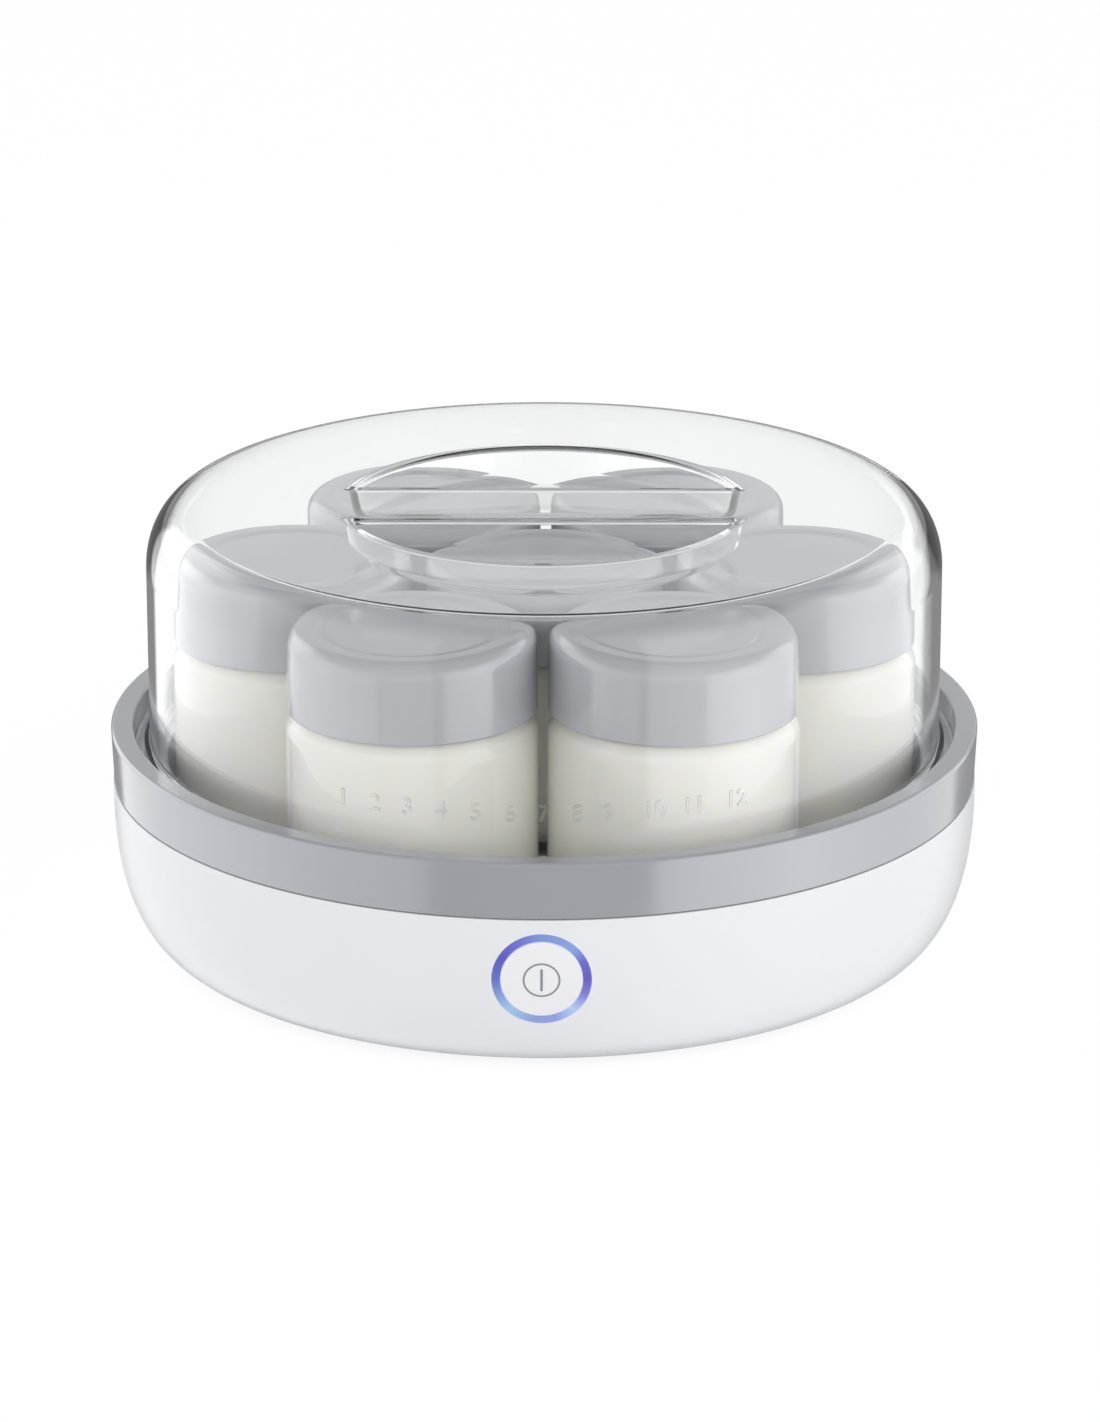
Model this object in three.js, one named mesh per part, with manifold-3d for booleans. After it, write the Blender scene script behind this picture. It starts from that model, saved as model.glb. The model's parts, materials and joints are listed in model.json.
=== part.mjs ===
// A round electric yogurt maker: a white bowl-shaped base with a grey upper housing, seven
// glass jars with twist-off lids, and a clear cover. Millimetres, +Z up. The origin is on the
// table, on the machine's vertical axis, and the power button faces -Y.
import * as THREE from 'three';
import { mergeVertices } from 'three/addons/utils/BufferGeometryUtils.js';
import Module from 'manifold-3d';

const wasm = await Module();
wasm.setup();

// ---------------------------------------------------------------- driving dimensions
const GAP = 0.3; // clearance between neighbouring pieces

const FOOT_HEIGHT = 1.5; // how far the rubber feet hold the shell off the table
const FOOT_RADIUS = 7;
const FOOT_CIRCLE = 88;
const FOOT_ANGLES = [30, 150, 210, 330];

const SHELL_RADIUS = 117.5; // widest radius of the white bowl
const SHELL_FLAT_RADIUS = 98.6; // flat part of its underside
const SHELL_CURVE_HEIGHT = 42;
const SHELL_CURVE_POWER = 2.3; // a superellipse, a little squarer than an ellipse
const SHELL_WALL = 2.5;
const SHELL_FLOOR = FOOT_HEIGHT + SHELL_WALL; // top of its floor, inside

const RIM_RADIUS = 117.9; // outer edge of the grey band
const RIM_BOTTOM = 46.1;
const RIM_TOP = 61.3;
const RIM_INNER_RADIUS = 111.7;
const HOUSING_WALL = 2;
const SHELF_TOP = 54; // the ledge that the cover stands on
const WELL_RADIUS = 102.5;
const WELL_FLOOR = 29.5; // the jars stand on it

const COVER_RADIUS = 107.4;
const COVER_TOP = 121.5;
const COVER_WALL = 2.3;
const COVER_SHOULDER_WIDTH = 11; // the shoulder's bend, a quarter of an ellipse
const COVER_SHOULDER_HEIGHT = 16;
const POCKET_RADIUS = 53.7; // circular recess that the grip bar splits in two
const POCKET_DEPTH = 10;
const POCKET_DRAFT = 1.4; // how much narrower a pocket is at its floor
const BAR_WIDTH = 28.5;

const JAR_PITCH = 68; // six jars stand round one, all this far apart
const JAR_RADIUS = 33;
const JAR_WALL = 2.6;
const NECK_RADIUS = 30.6;
const SHOULDER_HEIGHT = 79.5; // the jar starts to narrow here
const YOGURT_TOP = 88;
const LID_RADIUS = 32.6;
const LID_BOTTOM = 84;
const LID_TOP = 105.2;
const LID_WALL = 1.5;

const BUTTON_HEIGHT = 29.2; // height of the button's axis
const BUTTON_RADIUS = 10.6;
const LIGHT_RING_INNER = 10.9;
const LIGHT_RING_OUTER = 12.7;
const LIGHT_FLANGE_RADIUS = 14.5; // the ring's flange, behind the bowl's wall
const BUTTON_TRAVEL = 1.2;

const SCREW_CIRCLE = 91;
const SCREW_ANGLES = [60, 120, 240, 300];
const SCREW_BOSS_TOP = 8; // the shell's bosses end here and the housing's begin above
const SCREW_SHANK = 1.2;
const SCREW_BOSS_RADIUS = 5.5;
const SCREW_RECESS_RADIUS = 3.5; // the heads sit in these, up inside the bowl's floor
const SCREW_POST_RADIUS = 4; // the housing's posts that the screws bite into

const PLATE_RADIUS = 80;
const PLATE_THICKNESS = 1.5;
const HEATER_CIRCLE = 55;
const HEATER_THICKNESS = 4.4;
const HEATER_OPENING = 30; // degrees left open in the heating ring, facing the back

const GLAND_HEIGHT = 20;
const GLAND_RADIUS = 5;
const GLAND_FLANGE_RADIUS = 7;
const CORD_RADIUS = 3.2;
const GLAND_INNER_FLANGE = 106; // front-to-back station of its flange inside the wall

// Facets round each kind of piece.
const LARGE_FACETS = 48;
const JAR_FACETS = 20;
const BUTTON_FACETS = 24;
const SMALL_FACETS = 12;
const TINY_FACETS = 8;

// ---------------------------------------------------------------- derived sizes
const HOUSING_FLOOR_BOTTOM = WELL_FLOOR - HOUSING_WALL;
const PLATE_TOP = HOUSING_FLOOR_BOTTOM - GAP;
const PLATE_BOTTOM = PLATE_TOP - PLATE_THICKNESS;
const HEATER_Z = PLATE_BOTTOM - GAP - HEATER_THICKNESS / 2;
const POCKET_FLOOR = COVER_TOP - POCKET_DEPTH;

// Front-to-back stations of the switch stack, measured along Y.
const CONTROL_BOARD_BACK = -105.4;
const BOARD_THICKNESS = 1.6;
const CONTROL_BOARD_FRONT = CONTROL_BOARD_BACK - BOARD_THICKNESS;
const LED_FRONT = CONTROL_BOARD_FRONT - GAP - 1;
const SWITCH_FRONT = CONTROL_BOARD_FRONT - GAP - 2.5;
const PLUNGER_FRONT = SWITCH_FRONT - 0.7;
const STEM_BACK = PLUNGER_FRONT - BUTTON_TRAVEL - GAP;
const BUTTON_PLATE_BACK = STEM_BACK - 1.4;
const BEYOND_SHELL = -(SHELL_RADIUS + 2);
const BEHIND_FRONT_WALL = -100;

// Power board, lying flat under the heating plate.
const POWER_BOARD = { left: -35, right: 35, front: 18, back: 66, bottom: 9.3 };
const POWER_BOARD_TOP = POWER_BOARD.bottom + BOARD_THICKNESS;
const PARTS_BASE = POWER_BOARD_TOP + GAP; // electronic parts stand from here
const TERMINAL_X = 12;
const TERMINAL_Y = 59;
const TERMINAL_TOP = PARTS_BASE + 8;

const BRACKET_X = 12.5;
const BRACKET_SCREW_Y = -97;
const BRACKET_BOTTOM = SHELL_FLOOR + 4 + GAP;
const BRACKET_TOP = BRACKET_BOTTOM + 2;

// ---------------------------------------------------------------- materials
function material(color, roughness, metalness = 0) {
  return new THREE.MeshStandardMaterial({ color, roughness, metalness });
}

const looks = {
  whitePlastic: () => material(0xf2f3f4, 0.35),
  greyPlastic: () => material(0xa6a8ae, 0.28),
  clearPlastic: () => {
    const clear = material(0xf4f7f8, 0.05);
    clear.transparent = true;
    clear.opacity = 0.25;
    return clear;
  },
  glass: () => {
    const glass = material(0xdfeee4, 0.04);
    glass.transparent = true;
    glass.opacity = 0.35;
    return glass;
  },
  lidPlastic: () => material(0xb2b4ba, 0.3),
  yogurt: () => material(0xf3f4ec, 0.45),
  lightGuide: () => material(0x7f9cff, 0.25),
  rubber: () => material(0x3c3d3f, 0.8),
  aluminium: () => material(0xc9ccd0, 0.35, 0.9),
  steel: () => material(0xb7b9bc, 0.3, 0.95),
  siliconeSleeve: () => material(0xc7b28a, 0.7),
  circuitBoard: () => material(0x2d6b43, 0.5),
  blackPlastic: () => material(0x1f2022, 0.5),
  bluePlastic: () => material(0x2f56a8, 0.45),
  greenPlastic: () => material(0x3f8f5a, 0.5),
  whiteLed: () => material(0xf6f3d8, 0.3),
  redWire: () => material(0xb2382f, 0.5),
  blueWire: () => material(0x2d4f9e, 0.5),
  blackWire: () => material(0x26272a, 0.5),
  greyWire: () => material(0x9a9ca1, 0.5),
};

// ---------------------------------------------------------------- geometry helpers
const group = new THREE.Group();

function addPart(name, geometry, look) {
  const mesh = new THREE.Mesh(geometry, look());
  mesh.name = name;
  group.add(mesh);
}

function radians(degrees) {
  return (degrees * Math.PI) / 180;
}

function onCircle(radius, degrees) {
  return [radius * Math.cos(radians(degrees)), radius * Math.sin(radians(degrees))];
}

// A solid of revolution about +Z. The outline holds [radius, height] pairs and runs
// anticlockwise: up the outside and down the inside.
function turned(outline, facets) {
  const points = outline.map(([radius, height]) => new THREE.Vector2(radius, height));
  return new THREE.LatheGeometry(points, facets).rotateX(Math.PI / 2);
}

function disc(radius, bottom, top, facets = SMALL_FACETS, x = 0, y = 0) {
  const cylinder = new THREE.CylinderGeometry(radius, radius, top - bottom, facets);
  return cylinder.rotateX(Math.PI / 2).translate(x, y, (bottom + top) / 2);
}

// A cylinder along Y at x = 0, from one station to another further back.
function rod(radius, front, back, height, facets) {
  const cylinder = new THREE.CylinderGeometry(radius, radius, back - front, facets);
  return cylinder.translate(0, (front + back) / 2, height);
}

function block(x0, x1, y0, y1, z0, z1) {
  const box = new THREE.BoxGeometry(x1 - x0, y1 - y0, z1 - z0);
  return box.translate((x0 + x1) / 2, (y0 + y1) / 2, (z0 + z1) / 2);
}

// A wire or tube of round section along a smooth curve through the points.
function tube(points, radius, sides, steps) {
  const path = new THREE.CatmullRomCurve3(points.map((point) => new THREE.Vector3(...point)));
  return sweep(path, radius, sides, steps);
}

function sweep(path, radius, sides, steps) {
  const section = new THREE.Shape();
  for (let side = 0; side < sides; side += 1) {
    const [x, y] = onCircle(radius, (360 * side) / sides);
    if (side === 0) section.moveTo(x, y);
    else section.lineTo(x, y);
  }
  section.closePath();
  return new THREE.ExtrudeGeometry(section, { steps, extrudePath: path, bevelEnabled: false });
}

// Points of a round corner from one angle to another, in degrees, in [radius, height] pairs.
// The corner is elliptical where its bend up differs from its bend across.
function corner(centreRadius, centreHeight, bend, from, to, steps, bendUp = bend) {
  const points = [];
  for (let step = 0; step <= steps; step += 1) {
    const [across, up] = onCircle(1, from + ((to - from) * step) / steps);
    points.push([centreRadius + bend * across, centreHeight + bendUp * up]);
  }
  return points;
}

// The bowl's wall as a quarter of a superellipse, from its flat floor up to its widest radius.
function bowlCurve(flatRadius, wideRadius, bottom, height, steps) {
  const points = [];
  for (let step = 0; step <= steps; step += 1) {
    const turn = (Math.PI / 2) * (step / steps);
    const out = Math.sin(turn) ** (2 / SHELL_CURVE_POWER);
    const down = Math.cos(turn) ** (2 / SHELL_CURVE_POWER);
    points.push([flatRadius + (wideRadius - flatRadius) * out, bottom + height * (1 - down)]);
  }
  return points;
}

function solidOf(geometry) {
  const bare = geometry.index ? geometry.toNonIndexed() : geometry.clone();
  bare.deleteAttribute('normal');
  bare.deleteAttribute('uv');
  const merged = mergeVertices(bare, 1e-3);
  const mesh = new wasm.Mesh({
    numProp: 3,
    vertProperties: new Float32Array(merged.attributes.position.array),
    triVerts: new Uint32Array(merged.index.array),
  });
  return new wasm.Manifold(mesh);
}

function geometryOf(solid) {
  const mesh = solid.getMesh();
  const geometry = new THREE.BufferGeometry();
  geometry.setAttribute('position', new THREE.BufferAttribute(mesh.vertProperties, 3));
  geometry.setIndex(new THREE.BufferAttribute(mesh.triVerts, 1));
  return geometry;
}

function joined(geometries) {
  return geometries.map(solidOf).reduce((whole, piece) => whole.add(piece));
}

function cut(solid, geometries) {
  return geometries.map(solidOf).reduce((rest, tool) => rest.subtract(tool), solid);
}

// ---------------------------------------------------------------- white base shell
const CURVE_STEPS = 6;
const SHELL_LIP_RADIUS = 115.2; // the lip stands inside the housing's outer skirt
const SHELL_LIP_WALL = 2.2;
const SHELL_LIP_TOP = SHELF_TOP - HOUSING_WALL - GAP;
const SHELL_WIDEST = FOOT_HEIGHT + SHELL_CURVE_HEIGHT;

function outerBowl() {
  return bowlCurve(SHELL_FLAT_RADIUS, SHELL_RADIUS, FOOT_HEIGHT, SHELL_CURVE_HEIGHT, CURVE_STEPS);
}

function innerBowl(inset) {
  const flat = SHELL_FLAT_RADIUS - 1.1 - inset;
  const wide = SHELL_RADIUS - SHELL_WALL - inset;
  const bottom = SHELL_FLOOR + inset;
  return bowlCurve(flat, wide, bottom, SHELL_WIDEST - bottom, CURVE_STEPS);
}

// The whole space inside the outer surface, for cutting pieces flush with it.
function shellEnvelope(top) {
  return turned([[0, FOOT_HEIGHT], ...outerBowl(), [SHELL_RADIUS, top], [0, top]], LARGE_FACETS);
}

// The room inside the wall, smaller by a clearance.
function shellRoom() {
  const wall = innerBowl(GAP);
  return turned([[0, SHELL_FLOOR + GAP], ...wall, [0, SHELL_WIDEST]], LARGE_FACETS);
}

function baseShell() {
  const lipInner = SHELL_LIP_RADIUS - SHELL_LIP_WALL;
  const body = turned(
    [
      [0, FOOT_HEIGHT],
      ...outerBowl(),
      [SHELL_RADIUS, RIM_BOTTOM - GAP],
      [SHELL_LIP_RADIUS, RIM_BOTTOM - GAP],
      [SHELL_LIP_RADIUS, SHELL_LIP_TOP],
      [lipInner, SHELL_LIP_TOP],
      [lipInner, RIM_BOTTOM - GAP],
      ...innerBowl(0).reverse(),
      [0, SHELL_FLOOR],
    ],
    LARGE_FACETS,
  );
  const bosses = [
    ...SCREW_ANGLES.map((angle) =>
      disc(
        SCREW_BOSS_RADIUS,
        FOOT_HEIGHT + 1,
        SCREW_BOSS_TOP,
        SMALL_FACETS,
        ...onCircle(SCREW_CIRCLE, angle),
      ),
    ),
    ...[-BRACKET_X, BRACKET_X].map((x) =>
      disc(3.5, FOOT_HEIGHT + 1, SHELL_FLOOR + 4, SMALL_FACETS, x, BRACKET_SCREW_Y),
    ),
    ...powerBoardCorners().map(([x, y]) =>
      disc(3, FOOT_HEIGHT + 1, POWER_BOARD.bottom - GAP, SMALL_FACETS, x, y),
    ),
  ];
  const cuts = [
    ...FOOT_ANGLES.map((angle) =>
      disc(FOOT_RADIUS + GAP, 0, FOOT_HEIGHT + 1, SMALL_FACETS, ...onCircle(FOOT_CIRCLE, angle)),
    ),
    ...SCREW_ANGLES.flatMap((angle) => {
      const place = onCircle(SCREW_CIRCLE, angle);
      return [
        disc(SCREW_RECESS_RADIUS, 0, SHELL_FLOOR, SMALL_FACETS, ...place),
        disc(1.9, 0, SCREW_BOSS_TOP + 1, TINY_FACETS, ...place),
      ];
    }),
    ...[-BRACKET_X, BRACKET_X].map((x) =>
      disc(1.4, SHELL_FLOOR, SHELL_FLOOR + 5, TINY_FACETS, x, BRACKET_SCREW_Y),
    ),
    rod(
      LIGHT_RING_OUTER + GAP,
      BEYOND_SHELL,
      BEHIND_FRONT_WALL,
      BUTTON_HEIGHT,
      BUTTON_FACETS,
    ),
    rod(GLAND_RADIUS + GAP, GLAND_INNER_FLANGE - 6, -BEYOND_SHELL, GLAND_HEIGHT, SMALL_FACETS),
  ];
  return cut(joined([body, ...bosses]), cuts);
}

function powerBoardCorners() {
  const inset = 5;
  return [POWER_BOARD.left + inset, POWER_BOARD.right - inset].flatMap((x) =>
    [POWER_BOARD.front + inset, POWER_BOARD.back - inset].map((y) => [x, y]),
  );
}

addPart('base_shell', geometryOf(baseShell()), looks.whitePlastic);

// ---------------------------------------------------------------- grey upper housing
// One moulding: the well with its floor, the ledge for the cover, the flange and the band.
function upperHousing() {
  const wellOuter = WELL_RADIUS + HOUSING_WALL + 0.2;
  const skirtBottom = RIM_RADIUS - 0.7;
  const edge = 0.8;
  const body = turned(
    [
      [0, HOUSING_FLOOR_BOTTOM],
      [wellOuter - edge, HOUSING_FLOOR_BOTTOM],
      [wellOuter, HOUSING_FLOOR_BOTTOM + edge],
      [wellOuter, SHELF_TOP - HOUSING_WALL],
      [RIM_INNER_RADIUS + HOUSING_WALL, SHELF_TOP - HOUSING_WALL],
      [RIM_INNER_RADIUS + HOUSING_WALL, RIM_TOP - HOUSING_WALL],
      [SHELL_LIP_RADIUS + GAP, RIM_TOP - HOUSING_WALL],
      [SHELL_LIP_RADIUS + GAP, RIM_BOTTOM],
      [skirtBottom, RIM_BOTTOM],
      [RIM_RADIUS, RIM_TOP - edge],
      [RIM_RADIUS - edge, RIM_TOP],
      [RIM_INNER_RADIUS + edge, RIM_TOP],
      [RIM_INNER_RADIUS, RIM_TOP - edge],
      [RIM_INNER_RADIUS, SHELF_TOP],
      [WELL_RADIUS, SHELF_TOP],
      [WELL_RADIUS, WELL_FLOOR + 2],
      [WELL_RADIUS - 2, WELL_FLOOR],
      [0, WELL_FLOOR],
    ],
    LARGE_FACETS,
  );
  const places = SCREW_ANGLES.map((angle) => onCircle(SCREW_CIRCLE, angle));
  const posts = places.map((place) =>
    disc(
      SCREW_POST_RADIUS,
      SCREW_BOSS_TOP + GAP,
      HOUSING_FLOOR_BOTTOM + 1,
      SMALL_FACETS,
      ...place,
    ),
  );
  const holes = places.map((place) => disc(1.5, 0, 18.5, TINY_FACETS, ...place));
  return cut(joined([body, ...posts]), holes);
}

addPart('upper_housing', geometryOf(upperHousing()), looks.greyPlastic);

// ---------------------------------------------------------------- heater
addPart('heating_plate', disc(PLATE_RADIUS, PLATE_BOTTOM, PLATE_TOP, LARGE_FACETS), looks.aluminium);

class HeaterArc extends THREE.Curve {
  getPoint(t, target = new THREE.Vector3()) {
    const start = 90 + HEATER_OPENING / 2;
    const sweepAngle = 360 - HEATER_OPENING;
    const [x, y] = onCircle(HEATER_CIRCLE, start + sweepAngle * t);
    return target.set(x, y, HEATER_Z);
  }
}

const heaterRing = sweep(new HeaterArc(), HEATER_THICKNESS / 2, 6, 30);
addPart('heater_element', heaterRing, looks.siliconeSleeve);

// The sensor bead lies along Y against the plate's middle, under a spring clip.
const SENSOR_RADIUS = 2.2;
const SENSOR_Z = PLATE_BOTTOM - GAP - SENSOR_RADIUS;

function temperatureSensor() {
  const bead = [
    [0, -5],
    ...corner(0, -3, SENSOR_RADIUS, -45, 0, 1),
    ...corner(0, 3, SENSOR_RADIUS, 0, 45, 1),
    [0, 5],
  ];
  return turned(bead, 12).rotateX(Math.PI / 2).translate(0, 0, SENSOR_Z);
}

addPart('temperature_sensor', temperatureSensor(), looks.blackPlastic);

function sensorClip() {
  const strip = 0.6;
  const top = PLATE_BOTTOM - GAP;
  const low = SENSOR_Z - SENSOR_RADIUS - GAP;
  const outline = new THREE.Shape();
  outline.moveTo(-12, top);
  outline.lineTo(-12, top - strip);
  outline.lineTo(-4, top - strip);
  outline.lineTo(-3, low - strip);
  outline.lineTo(3, low - strip);
  outline.lineTo(4, top - strip);
  outline.lineTo(12, top - strip);
  outline.lineTo(12, top);
  outline.lineTo(3.4, top);
  outline.lineTo(2.5, low);
  outline.lineTo(-2.5, low);
  outline.lineTo(-3.4, top);
  outline.closePath();
  const width = 4;
  const clip = new THREE.ExtrudeGeometry(outline, { depth: width, bevelEnabled: false });
  return clip.rotateX(Math.PI / 2).translate(0, width / 2, 0);
}

addPart('sensor_clip', sensorClip(), looks.steel);

// The fuse lies beside the heating ring, its wire ends drawn out on both sides.
function thermalFuse() {
  const outline = [
    [0, -14],
    [0.5, -14],
    [0.5, -5.5],
    [2, -5],
    [2, 5],
    [0.5, 5.5],
    [0.5, 14],
    [0, 14],
  ];
  return turned(outline, TINY_FACETS).rotateX(Math.PI / 2).translate(38, 0, SENSOR_Z);
}

addPart('thermal_fuse', thermalFuse(), looks.aluminium);

// ---------------------------------------------------------------- switch and its light
function lightRing() {
  const back = LED_FRONT - GAP;
  const flangeFront = back - 2;
  const facets = BUTTON_FACETS;
  const tip = rod(LIGHT_RING_OUTER, BEYOND_SHELL, back, BUTTON_HEIGHT, facets);
  const flange = rod(LIGHT_FLANGE_RADIUS, flangeFront, back, BUTTON_HEIGHT, facets);
  const before = BEYOND_SHELL - 1;
  const bore = rod(LIGHT_RING_INNER, before, BEHIND_FRONT_WALL, BUTTON_HEIGHT, facets);
  const flush = solidOf(tip).intersect(solidOf(shellEnvelope(RIM_BOTTOM)));
  const inside = solidOf(flange).intersect(solidOf(shellRoom()));
  return cut(flush.add(inside), [bore]);
}

addPart('light_ring', geometryOf(lightRing()), looks.lightGuide);

// The cap is flush with the bowl. Its skirt slides in the light ring and its stem meets the
// switch at the end of the travel.
function powerButton() {
  const facets = BUTTON_FACETS;
  const skirtBack = BUTTON_PLATE_BACK + 3;
  const drum = rod(BUTTON_RADIUS, BEYOND_SHELL, skirtBack, BUTTON_HEIGHT, facets);
  const inner = BUTTON_RADIUS - 1.5;
  const hollow = rod(inner, BUTTON_PLATE_BACK, BEHIND_FRONT_WALL, BUTTON_HEIGHT, facets);
  const stem = rod(2, BUTTON_PLATE_BACK - 0.5, STEM_BACK, BUTTON_HEIGHT, TINY_FACETS);
  const flush = solidOf(drum).intersect(solidOf(shellEnvelope(RIM_BOTTOM)));
  return cut(flush, [hollow]).add(solidOf(stem));
}

addPart('power_button', geometryOf(powerButton()), looks.whitePlastic);

const CONTROL_BOARD_HALF = 17;
const CONTROL_BOARD_BOTTOM = 14;
const CONTROL_BOARD_TOP = 45;
const controlBoard = block(
  -CONTROL_BOARD_HALF,
  CONTROL_BOARD_HALF,
  CONTROL_BOARD_FRONT,
  CONTROL_BOARD_BACK,
  CONTROL_BOARD_BOTTOM,
  CONTROL_BOARD_TOP,
);
addPart('control_board', controlBoard, looks.circuitBoard);

function tactSwitch() {
  const half = 3;
  const back = CONTROL_BOARD_FRONT - GAP;
  const low = BUTTON_HEIGHT - half;
  const high = BUTTON_HEIGHT + half;
  const body = block(-half, half, SWITCH_FRONT, back, low, high);
  const plunger = rod(1.6, PLUNGER_FRONT, SWITCH_FRONT + 0.5, BUTTON_HEIGHT, TINY_FACETS);
  return joined([body, plunger]);
}

addPart('tact_switch', geometryOf(tactSwitch()), looks.blackPlastic);

const LED_ANGLES = [45, 135, 225, 315];
LED_ANGLES.forEach((angle, index) => {
  const [x, up] = onCircle((LIGHT_RING_INNER + LIGHT_RING_OUTER) / 2, angle);
  const z = BUTTON_HEIGHT + up;
  const back = CONTROL_BOARD_FRONT - GAP;
  const led = block(x - 1.4, x + 1.4, LED_FRONT, back, z - 0.8, z + 0.8);
  addPart(`led_${index + 1}`, led, looks.whiteLed);
});

// A foot plate screwed to the shell, with an upright behind each side of the board.
function boardBracket() {
  const inner = 10.5;
  const outer = 16.5;
  const front = CONTROL_BOARD_BACK + GAP;
  const thick = 2;
  const top = 26.5;
  const foot = block(-outer, outer, front + 1.5, -92, BRACKET_BOTTOM, BRACKET_TOP);
  const left = block(-outer, -inner, front, front + thick, BRACKET_TOP - 1, top);
  const right = block(inner, outer, front, front + thick, BRACKET_TOP - 1, top);
  const holes = [-BRACKET_X, BRACKET_X].map((x) =>
    disc(1.5, 0, BRACKET_TOP + 1, TINY_FACETS, x, BRACKET_SCREW_Y),
  );
  return cut(joined([foot, left, right]), holes);
}

addPart('board_bracket', geometryOf(boardBracket()), looks.whitePlastic);

// ---------------------------------------------------------------- screws and feet
// A screw with a domed cross-slotted head. The sign is 1 when its point is up.
function screw(x, y, headTop, headHeight, headRadius, shankRadius, length, sign) {
  const outline = [
    [0, 0],
    [headRadius * 0.75, 0],
    [headRadius, headHeight * 0.5],
    [headRadius, headHeight],
    [shankRadius, headHeight],
    [shankRadius, length - shankRadius],
    [0, length],
  ];
  const slot = 0.25 * headRadius;
  const arm = 0.6 * headRadius;
  const deep = 0.55 * headHeight;
  const body = cut(solidOf(turned(outline, TINY_FACETS)), [
    block(-arm, arm, -slot / 2, slot / 2, -1, deep),
    block(-slot / 2, slot / 2, -arm, arm, -1, deep),
  ]);
  const geometry = geometryOf(body);
  if (sign < 0) geometry.rotateX(Math.PI);
  return geometry.translate(x, y, headTop);
}

SCREW_ANGLES.forEach((angle, index) => {
  const [x, y] = onCircle(SCREW_CIRCLE, angle);
  const name = `base_screw_${index + 1}`;
  const head = FOOT_HEIGHT + 0.3;
  addPart(name, screw(x, y, head, 1.9, 3.1, SCREW_SHANK, 15.5, 1), looks.steel);
});

[-BRACKET_X, BRACKET_X].forEach((x, index) => {
  const head = BRACKET_TOP + GAP + 1.6;
  const name = `bracket_screw_${index + 1}`;
  addPart(name, screw(x, BRACKET_SCREW_Y, head, 1.6, 2.5, 1.1, 7.5, -1), looks.steel);
});

FOOT_ANGLES.forEach((angle, index) => {
  const [x, y] = onCircle(FOOT_CIRCLE, angle);
  const top = FOOT_HEIGHT + 1 - GAP;
  const outline = [
    [0, 0],
    [FOOT_RADIUS - 0.7, 0],
    [FOOT_RADIUS, 0.7],
    [FOOT_RADIUS, top],
    [0, top],
  ];
  addPart(`foot_${index + 1}`, turned(outline, 16).translate(x, y, 0), looks.rubber);
});

// ---------------------------------------------------------------- power board and wiring
const powerBoard = block(
  POWER_BOARD.left,
  POWER_BOARD.right,
  POWER_BOARD.front,
  POWER_BOARD.back,
  POWER_BOARD.bottom,
  POWER_BOARD_TOP,
);
addPart('power_board', powerBoard, looks.circuitBoard);
addPart('relay', block(-28, -9, 24, 39, PARTS_BASE, PARTS_BASE + 9), looks.bluePlastic);

function capacitor() {
  const radius = 4;
  const height = 9;
  const outline = [
    [0, 0],
    [radius, 0],
    [radius, height - 0.6],
    [radius - 0.6, height],
    [0, height],
  ];
  return turned(outline, SMALL_FACETS).translate(6, 30, PARTS_BASE);
}

addPart('capacitor', capacitor(), looks.blackPlastic);

// Two screw clamps side by side, each with a wire funnel that faces the front.
function terminalBlock() {
  const half = 11;
  const front = TERMINAL_Y - 4;
  const body = block(-half, half, front, TERMINAL_Y + 4, PARTS_BASE, TERMINAL_TOP);
  const funnels = [-TERMINAL_X / 2, TERMINAL_X / 2].map((x) =>
    block(x - 1.6, x + 1.6, front - 1, front + 3.5, PARTS_BASE + 2, PARTS_BASE + 5.2),
  );
  const wells = [-TERMINAL_X / 2, TERMINAL_X / 2].map((x) =>
    disc(2, TERMINAL_TOP - 2, TERMINAL_TOP + 1, TINY_FACETS, x, TERMINAL_Y + 1),
  );
  return cut(solidOf(body), [...funnels, ...wells]);
}

addPart('terminal_block', geometryOf(terminalBlock()), looks.greenPlastic);

// Each lead runs from an end of the heating ring to its clamp.
const WIRE_SIDES = 6;
const LEAD_RADIUS = 0.9;
[-1, 1].forEach((side, index) => {
  const [endX, endY] = onCircle(HEATER_CIRCLE, 90 - (side * HEATER_OPENING) / 2);
  const clampZ = PARTS_BASE + 3.6;
  const clampX = (side * TERMINAL_X) / 2;
  const route = [
    [endX - side * 0.9, endY, HEATER_Z],
    [endX - side * 3, endY - 0.6, HEATER_Z - 0.4],
    [clampX + side * 3, endY - 3.5, HEATER_Z - 3],
    [clampX, TERMINAL_Y - 9, clampZ + 0.6],
    [clampX, TERMINAL_Y - 6, clampZ],
    [clampX, TERMINAL_Y - 1.2, clampZ],
  ];
  const look = side < 0 ? looks.blueWire : looks.redWire;
  addPart(`heater_lead_${index + 1}`, tube(route, LEAD_RADIUS, WIRE_SIDES, 14), look);
});

const sensorRoute = [
  [0, 5 + GAP, SENSOR_Z],
  [0, 9, SENSOR_Z - 0.3],
  [6, 13, 18],
  [14, 18, 14],
  [17, 24, PARTS_BASE + 1.6],
  [17.4, 27, PARTS_BASE + 1.1],
];
addPart('sensor_lead', tube(sensorRoute, 0.8, WIRE_SIDES, 16), looks.blackWire);

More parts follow.
